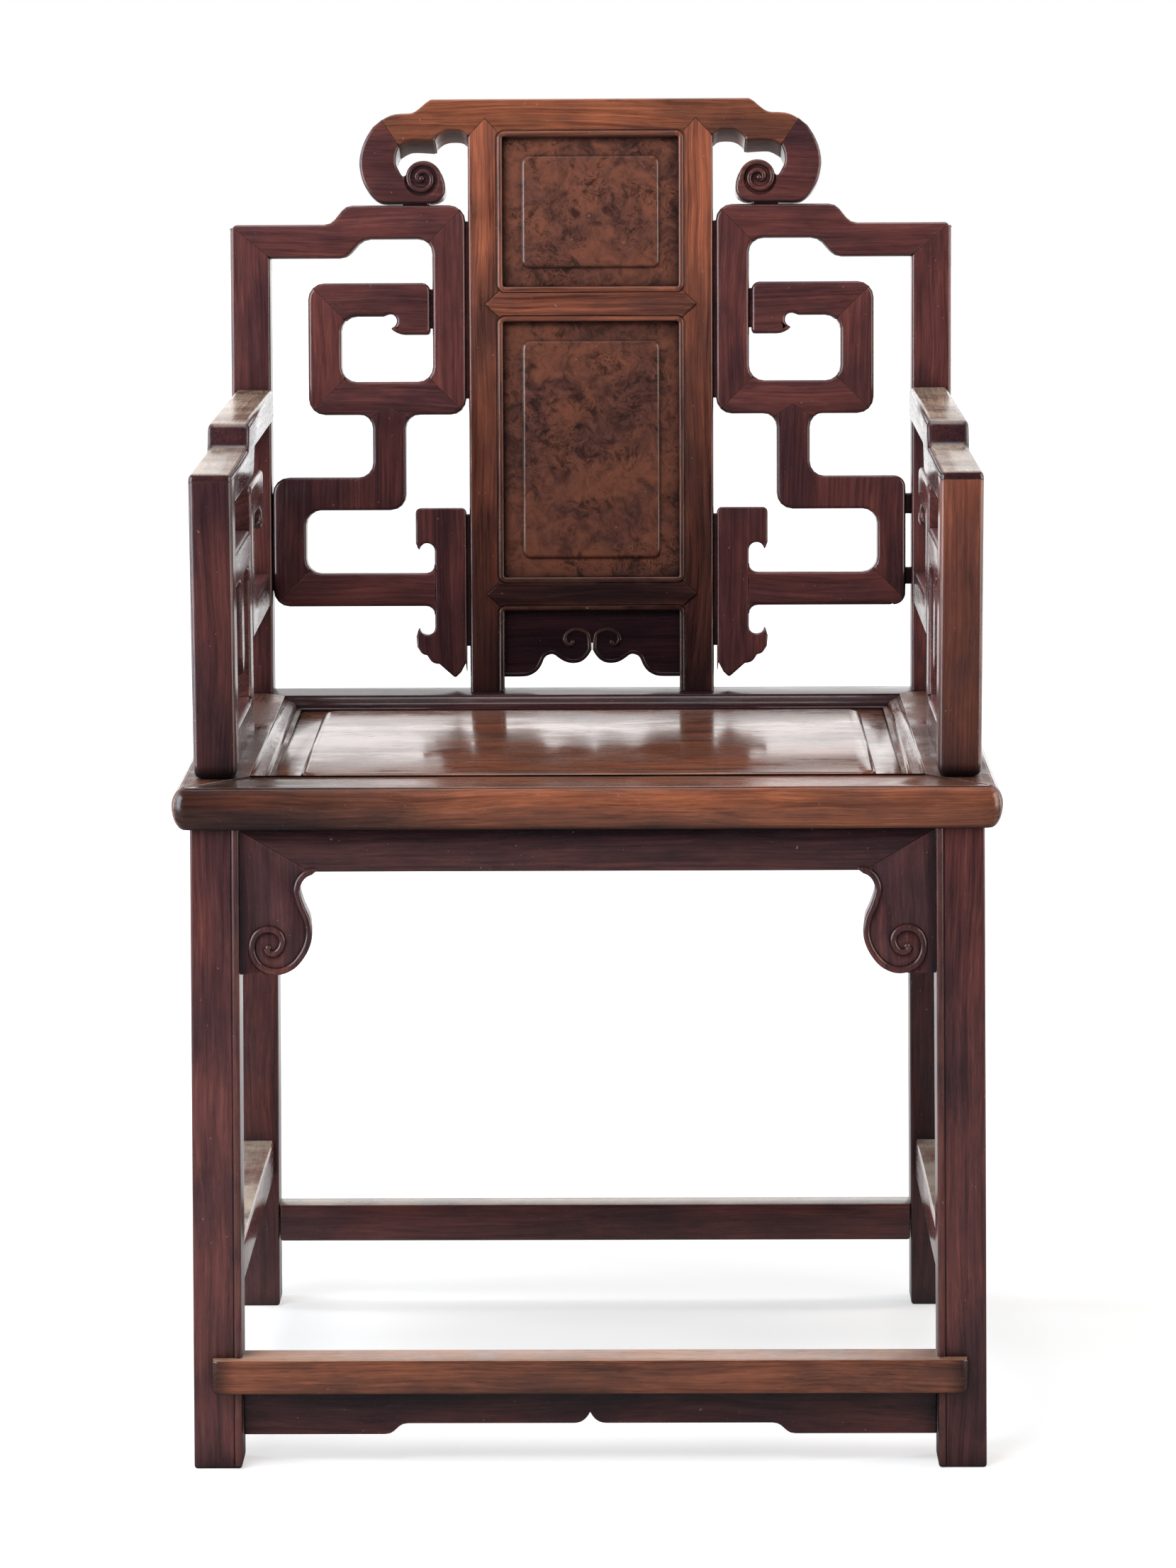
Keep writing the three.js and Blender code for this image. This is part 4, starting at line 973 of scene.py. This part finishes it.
class CHAIR_OT_crest(bpy.types.Operator):
    """Make the crest rail and its two ears with their spirals"""

    bl_idname = "chair.crest"
    bl_label = "Crest"

    def execute(self, context):
        edges = context.scene.chair_edges
        width = context.scene.chair_carving.ear_ridge
        rail = eased("crest_rail", edges.crest)
        fine_groove(rail, "upper")
        finish_piece(rail, "amber", ["crest_rail"], "x", True, tone=0.1)
        for name, side in sides:
            node = f"crest_{name}_ear"
            piece = eased(node, edges.crest)
            depth = face_depth(node)
            centre = (side * 137.3 * mm, 418.4 * mm)
            self.dish(piece, (centre[0] + side * 0.6 * mm, centre[1] - 0.9 * mm), depth)
            path = self.winding(centre, side, [2.2, 3.6, 5.9, 8.2, 9.4, 10.8, 12.3, 14.9, 17.2])
            line = ridge(
                f"{name}_ear_spiral",
                path,
                width,
                back_frame(),
                sink=depth + width / 2 - 0.2 * mm,
                taper=lambda share: 0.5 + 0.5 * min(1, share * 6),
            )
            heart = dot(2.5 * mm, back_frame() @ Matrix.Translation((centre[0], depth + 1.6 * mm, centre[1])))
            join(piece, line, heart)
            finish_piece(piece, "plum", [node], "x", True, tone=-0.1)
        return {"FINISHED"}

    def dish(self, piece, centre, depth):
        """Hollow the ear's face under its spiral"""
        bpy.ops.mesh.primitive_cylinder_add(vertices=48, radius=13.4 * mm, depth=5.2 * mm, location=(0, 0, 0))
        cutter = bpy.context.object
        upright = Matrix.Rotation(math.radians(90), 4, "X")
        place = Matrix.Translation((centre[0], depth - 0.2 * mm, centre[1]))
        cutter.data.transform(back_frame() @ place @ upright)
        cut(piece, cutter)

    def winding(self, centre, side, reaches):
        """Points of a spiral whose reach is given at each quarter turn, from its heart outwards"""
        steps = 9
        path = []
        for quarter, (near, far) in enumerate(zip(reaches, reaches[1:])):
            for step in range(steps):
                share = step / steps
                reach = (near + (far - near) * share) * mm
                angle = math.radians(270 - 90 * (quarter + share))
                path.append((centre[0] - side * reach * math.cos(angle), centre[1] + reach * math.sin(angle)))
        return path


class CHAIR_OT_splat(bpy.types.Operator):
    """Make the splat: stiles, rails, burl panels, beads and the cusped apron"""

    bl_idname = "chair.splat"
    bl_label = "Splat"

    def execute(self, context):
        edges = context.scene.chair_edges
        dark_foot = (-1.75, 0.8)
        for name, along, width, tone, openings in (
            ("left_stile", "z", edges.splat, dark_foot, ("upper", "lower", "foot")),
            ("right_stile", "z", edges.splat, dark_foot, ("upper", "lower", "foot")),
            ("middle_rail", "x", edges.splat * 0.6, 0.1, ("upper", "lower")),
            ("bottom_rail", "x", edges.splat * 0.6, -1.85, ("lower", "foot")),
        ):
            node = f"splat_{name}"
            piece = copy_solid(node)
            if along == "x":
                self.crown(piece)
            ease_edges(piece, node, width)
            for spot in openings:
                fine_groove(piece, spot)
            finish_piece(piece, "stile", [node], along=along, lean=True, tone=tone)
        for name, tone in (("upper", 0.25), ("lower", 0.0)):
            node = f"splat_{name}_panel"
            finish_piece(eased(node, edges.panel, "burl"), "burl", [node], "z", True, tone)
        self.beads(context.scene.chair_carving.splat_bead)
        self.apron()
        return {"FINISHED"}

    def crown(self, piece):
        """Raise the middle line of a rail's face"""
        back = back_frame()
        inverse = back.inverted()
        spots = [inverse @ vertex.co for vertex in piece.data.vertices]
        front = min(spot.y for spot in spots)
        middle = (min(spot.z for spot in spots) + max(spot.z for spot in spots)) / 2
        slice_at(piece, "z", [middle], back)
        for vertex in piece.data.vertices:
            spot = inverse @ vertex.co
            if abs(spot.z - middle) < 0.1 * mm and abs(spot.y - front) < 0.1 * mm:
                vertex.co = back @ (spot - Vector((0, 2.4 * mm, 0)))

    def beads(self, wide):
        """Lay a bead inside each opening; the one at the foot has no lower side"""
        for name, tone in (("upper", 0.4), ("lower", (-1.3, 0.3)), ("foot", -1.7)):
            path = opening(name, wide / 2 - 0.4 * mm)
            ring = name != "foot"
            if not ring:
                turned = path[7:21]
                path = [(turned[0][0], 1 * mm)] + turned + [(turned[-1][0], 1 * mm)]
            label = f"splat_{name}_bead"
            piece = ridge(label, path, wide, back_frame(), rise=0.4, sink=0.9 * mm, closed=ring)
            slice_at(piece, "x", (-69 * mm, 69 * mm))
            finish_piece(piece, "stile", along="ring", lean=True, tone=tone)

    def apron(self):
        """The apron with its cusped edge, a bead along it and two small scrolls"""
        node, width = "splat_apron", 3.4 * mm
        depth = face_depth(node)
        outline = [
            (71.7, 15.4), (56.5, 15.5), (51.2, 16.7), (47, 19.5), (44.2, 23.5), (41.9, 28.7), (39.1, 31.8),
            (35.7, 33.3), (32.4, 33.7), (29, 32.6), (25.6, 30.1), (22.2, 27.9), (18.9, 26.7), (15, 26.3),
            (11, 27), (7.6, 29.2), (4.8, 32.6), (2.7, 36.4), (1, 39.8),
        ]
        scroll = [
            (3, 46), (8.2, 50), (15, 50.6), (20.6, 47.4), (22.4, 42.6), (20, 38.9), (16.6, 38.8), (15.6, 41),
        ]
        piece = copy_solid(node)
        lines = []
        for name, side in sides:
            edge = smooth_path(laid_out(outline, side), 4)
            trim(piece, edge + [(0, edge[-1][1]), (0, -5 * mm), (edge[0][0], -5 * mm)], back_frame())
            half = [p for p in offset_path(edge, -side * width * 0.4) if abs(p[0]) > 1.7 * mm]
            whole = half + smooth_path([half[-1]] + laid_out(scroll, side), 5)[1:]
            bead = ridge(f"{name}_cusp_bead", whole, width, back_frame(), rise=0.45, sink=depth - 0.1 * mm)
            heart = back_frame() @ Matrix.Translation((side * 16 * mm, depth, 40.4 * mm))
            lines += [bead, dot(2 * mm, heart, columns=16, rows=10)]
        join(piece, *lines)
        finish_piece(piece, "plum", [node], along="x", lean=True, tone=-1.8)


class CHAIR_OT_frets(bpy.types.Operator):
    """Make the back posts and the fretwork between them and the splat"""

    bl_idname = "chair.frets"
    bl_label = "Fretwork"

    def execute(self, context):
        edges = context.scene.chair_edges
        for name, side in sides:
            timber_piece(f"{name}_back_post", edges.fret, "plum", "z", True, tone=0.1 - 0.25 * side)
            for part, along, shade in (
                ("top_rail", "x", 0.15),
                ("inner_upright", "z", 0.15),
                ("scroll_bottom", "x", 0.15),
                ("scroll_side", "z", 0.15),
                ("scroll_top", "x", 0.15),
                ("loop", "z", -0.7),
                ("lower_rail", "x", -0.4),
                ("bracket", "z", -0.6),
            ):
                node = f"{name}_fret_{part}"
                piece = copy_solid(node)
                tone = shade * (1 if name == "left" else 0.3)
                if node in ("right_fret_loop", "right_fret_lower_rail"):
                    self.stand_off(piece)
                    # Painted shade in the gap beside the post: darker within 4.4 mm of the outer edge
                    tone = fade(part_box("right_fret_loop")[1].x, 1 * mm, 4.4 * mm, tone - 1.8, tone)
                ease_edges(piece, node, edges.fret * (0.6 if part == "bracket" else 1))
                finish_piece(piece, "plum", [node], along=along, lean=True, tone=tone)
        return {"FINISHED"}

    def stand_off(self, piece):
        """Open the gap beside the post, above, between and below the pegs, and set the pegs back"""
        inverse = back_frame().inverted()
        outer = max((inverse @ v.co).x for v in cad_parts["right_fret_loop"].data.vertices)
        inner, clear, radius = outer - 4.6 * mm, outer + 2 * mm, 9.5 * mm
        top, foot = 176 * mm, 70.5 * mm
        outlines = []
        for end, peg, up in ((top, 161.4 * mm, 1), (foot, 87.2 * mm, -1)):
            past = end + up * 3 * mm
            arc = []
            for step in range(9):
                angle = math.radians(90 - step * 11.25)
                across, rise = radius * math.cos(angle), radius * math.sin(angle)
                arc.append((inner - radius + across, end - up * radius + up * rise))
            outlines.append([(arc[0][0], past)] + arc + [(inner, peg), (clear, peg), (clear, past)])
        outlines.insert(1, [(inner, 144.7 * mm), (clear, 144.7 * mm), (clear, 101 * mm), (inner, 101 * mm)])
        for outline in outlines:
            trim(piece, outline, back_frame())
        recess, wide, thick = 4 * mm, 10 * mm, 14 * mm
        bpy.ops.mesh.primitive_cube_add(size=1, location=(0, 0, 0))
        cutter = bpy.context.object
        place = Matrix.Translation((inner + wide / 2, recess - thick / 2, (top + foot) / 2))
        cutter.data.transform(back_frame() @ place @ Matrix.Diagonal((wide, thick, top - foot, 1)))
        cut(piece, cutter)


class CHAIR_OT_arms(bpy.types.Operator):
    """Make the arms: posts, rails, loops and scrolls"""

    bl_idname = "chair.arms"
    bl_label = "Arms"

    def execute(self, context):
        edges = context.scene.chair_edges
        for name, side in sides:
            node = f"{name}_arm_front_post"
            piece = copy_solid(node)
            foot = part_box(node)[0].z
            ankle, foot_width = foot + 1 * mm, 6.5 * mm
            ease_edges(
                piece,
                node,
                foot_width,
                own_width=lambda edge: edges.arm if max(v.co.z for v in edge.verts) > ankle else None,
                wide_joint=lambda edge: max(v.co.z for v in edge.verts) < ankle,
            )
            slice_at(piece, "z", [foot + rise for rise in (0.005, 0.011, 0.04, 0.15)])
            kind, glow, shade = ("post", 1.1, -0.75) if side > 0 else ("plum", 0.2, -0.95)
            finish_piece(piece, kind, [node], tone=lambda spot: self.post_tone(spot.z - foot, shade, glow))
            timber_piece(f"{name}_arm_top_rail", edges.arm, "worn", "y", tone=-1.1)
            for part in ("bottom_rail", "loop", "scroll"):
                timber_piece(f"{name}_arm_{part}", edges.fret, "plum", "y")
        return {"FINISHED"}

    def post_tone(self, rise, shade, glow):
        """Painted shade where the post meets the seat, then lighter and lighter towards the arm"""
        lighter = ramp(rise, 0.011, 0.15, 0, 0.4) + ramp(rise, 0.15, 0.24, 0, glow)
        return ramp(rise, 0.003, 0.011, -1.8, shade) + lighter


class CHAIR_OT_stage(bpy.types.Operator):
    """Set the camera, the lamps, the world and the floor"""

    bl_idname = "chair.stage"
    bl_label = "Stage"

    def execute(self, context):
        self.camera(context)
        self.lamps(context)
        self.world(context)
        self.floor()
        context.scene.view_settings.view_transform = "Standard"
        return {"FINISHED"}

    def camera(self, context):
        studio = context.scene.chair_studio
        turn, tilt, roll = studio.turn, studio.tilt, studio.roll
        forward = Vector((math.sin(turn) * math.cos(tilt), math.cos(turn) * math.cos(tilt), -math.sin(tilt)))
        across = Vector((math.cos(turn), -math.sin(turn), 0))
        up = across.cross(forward)
        right = across * math.cos(roll) + up * math.sin(roll)
        top = up * math.cos(roll) - across * math.sin(roll)
        bpy.ops.object.camera_add()
        camera = context.object
        camera.data.sensor_fit = "HORIZONTAL"
        camera.data.sensor_width = 36
        camera.data.lens = studio.lens
        camera.data.clip_end = 50
        place = Matrix((right, top, -forward)).transposed().to_4x4()
        place.translation = (studio.offset, seat_front - studio.distance, studio.height)
        camera.matrix_world = place
        context.scene.camera = camera

    def lamps(self, context):
        aim = Vector((0, 0, 0.55))
        for name, place, size, power, kinds in (
            ("key", (-1.1, -1.7, 3.0), (1.5, 1.5), 48, "diffuse"),
            ("left light", (-2.3, -1.3, 1.5), (0.9, 2.0), 16, "diffuse"),
            ("right light", (2.3, -0.9, 1.3), (0.6, 1.8), 6, "diffuse"),
            ("left window", (-2.3, -1.1, 1.15), (1.5, 2.3), 85, "glossy"),
            ("right window", (2.3, -0.9, 1.15), (1.2, 2.3), 45, "glossy"),
            ("top", (0, 0.3, 3.2), (2.0, 1.2), 22, "diffuse glossy"),
            ("backdrop glow", (0, 3.2, 1.3), (3.2, 2.4), 9, "diffuse glossy"),
            ("left rim", (-2.6, 0.6, 1.0), (0.4, 2.2), 22, "diffuse glossy"),
            ("right rim", (2.6, 0.6, 1.0), (0.4, 2.2), 20, "diffuse glossy"),
        ):
            bpy.ops.object.light_add(type="AREA", location=place)
            lamp = context.object
            lamp.name = name
            lamp.data.shape = "RECTANGLE"
            lamp.data.size, lamp.data.size_y = size
            lamp.data.energy = power
            tints = {"left": (0.84, 0.93, 1), "right": (1, 0.9, 0.8)}
            lamp.data.color = tints.get(name.split()[0], (1, 1, 1))
            lamp.visible_camera = False
            lamp.visible_glossy = "glossy" in kinds
            lamp.visible_diffuse = "diffuse" in kinds
            lamp.rotation_euler = (aim - Vector(place)).to_track_quat("-Z", "Y").to_euler()

    def world(self, context):
        """White where the camera looks, a softer light for the timber, dark in front in its mirror"""
        world = bpy.data.worlds.new("studio")
        context.scene.world = world
        tree = empty_tree(world)
        paths = tree.nodes.new("ShaderNodeLightPath").outputs
        seen = plus(paths["Is Camera Ray"], paths["Is Transmission Ray"], clamp=True)
        way = tree.nodes.new("ShaderNodeTexCoord").outputs["Generated"]
        behind = follow("ShaderNodeSeparateXYZ", {0: way}, "Y")
        white = (1, 1, 1, 1)
        lights = [
            {"Color": white, "Strength": span(behind, -0.25, 0.35, 0.02, 1.35)},
            {"Color": (0.92, 0.96, 1, 1), "Strength": 0.25},
            {"Color": white, "Strength": 1.0},
        ]
        mirrored, soft, plain = (add_node(tree, "ShaderNodeBackground", light).outputs[0] for light in lights)
        first = follow("ShaderNodeMixShader", {0: paths["Is Glossy Ray"], 1: soft, 2: mirrored})
        last = follow("ShaderNodeMixShader", {0: seen, 1: first, 2: plain})
        add_node(tree, "ShaderNodeOutputWorld", {"Surface": last})

    def floor(self):
        """White paper that keeps the chair's shadow"""
        bpy.ops.mesh.primitive_plane_add(size=24, location=(0, 0, 0))
        floor = bpy.context.object
        floor.name = "studio_floor"
        paper = bpy.data.materials.new("studio paper")
        tree = empty_tree(paper)
        paths = tree.nodes.new("ShaderNodeLightPath").outputs
        place = tree.nodes.new("ShaderNodeTexCoord").outputs["Object"]
        beyond = span(follow("ShaderNodeSeparateXYZ", {0: place}, "Y"), -0.3, 0.6)
        seen = plus(paths["Is Camera Ray"], times(paths["Is Glossy Ray"], beyond))
        away = vector_maths("LENGTH", place, output="Value")
        strength = times(seen, span(away, 0.6, 2.0, 0.52, 1.05))
        pale = maths("SUBTRACT", 0.86, times(paths["Is Glossy Ray"], 0.6))
        glow = follow("ShaderNodeEmission", {"Color": (1, 1, 1, 1), "Strength": strength})
        matt = follow("ShaderNodeBsdfDiffuse", {"Color": pale})
        both = follow("ShaderNodeAddShader", {0: glow, 1: matt})
        add_node(tree, "ShaderNodeOutputMaterial", {"Surface": both})
        floor.data.materials.append(paper)


class CHAIR_PT_panel(bpy.types.Panel):
    """Lists the parts of the chair"""

    bl_idname = "CHAIR_PT_panel"
    bl_label = "Fretwork Armchair"
    bl_space_type = "VIEW_3D"
    bl_region_type = "UI"
    bl_category = "Armchair"

    def draw(self, context):
        for group in settings_groups:
            settings = getattr(context.scene, group)
            box = self.layout.box()
            for name in settings.__annotations__:
                box.prop(settings, name)
        for operator in operators:
            self.layout.operator(operator.bl_idname)


settings_groups = {
    "chair_edges": ChairEdges,
    "chair_carving": ChairCarving,
    "chair_finish": ChairFinish,
    "chair_studio": ChairStudio,
}
operators = (
    CHAIR_OT_stage,
    CHAIR_OT_seat,
    CHAIR_OT_legs,
    CHAIR_OT_aprons,
    CHAIR_OT_stretchers,
    CHAIR_OT_crest,
    CHAIR_OT_splat,
    CHAIR_OT_frets,
    CHAIR_OT_arms,
)


def register():
    for name, settings in settings_groups.items():
        bpy.utils.register_class(settings)
        setattr(bpy.types.Scene, name, PointerProperty(type=settings))
    for operator in operators:
        bpy.utils.register_class(operator)
    bpy.utils.register_class(CHAIR_PT_panel)


def unregister():
    bpy.utils.unregister_class(CHAIR_PT_panel)
    for operator in reversed(operators):
        bpy.utils.unregister_class(operator)
    for name, settings in settings_groups.items():
        delattr(bpy.types.Scene, name)
        bpy.utils.unregister_class(settings)


def main():
    register()
    clear_selection()
    bpy.ops.chair.stage()
    bpy.ops.chair.seat()
    bpy.ops.chair.legs()
    bpy.ops.chair.aprons()
    bpy.ops.chair.stretchers()
    bpy.ops.chair.crest()
    bpy.ops.chair.splat()
    bpy.ops.chair.frets()
    bpy.ops.chair.arms()
    clear_selection()


if __name__ == "__main__":
    main()
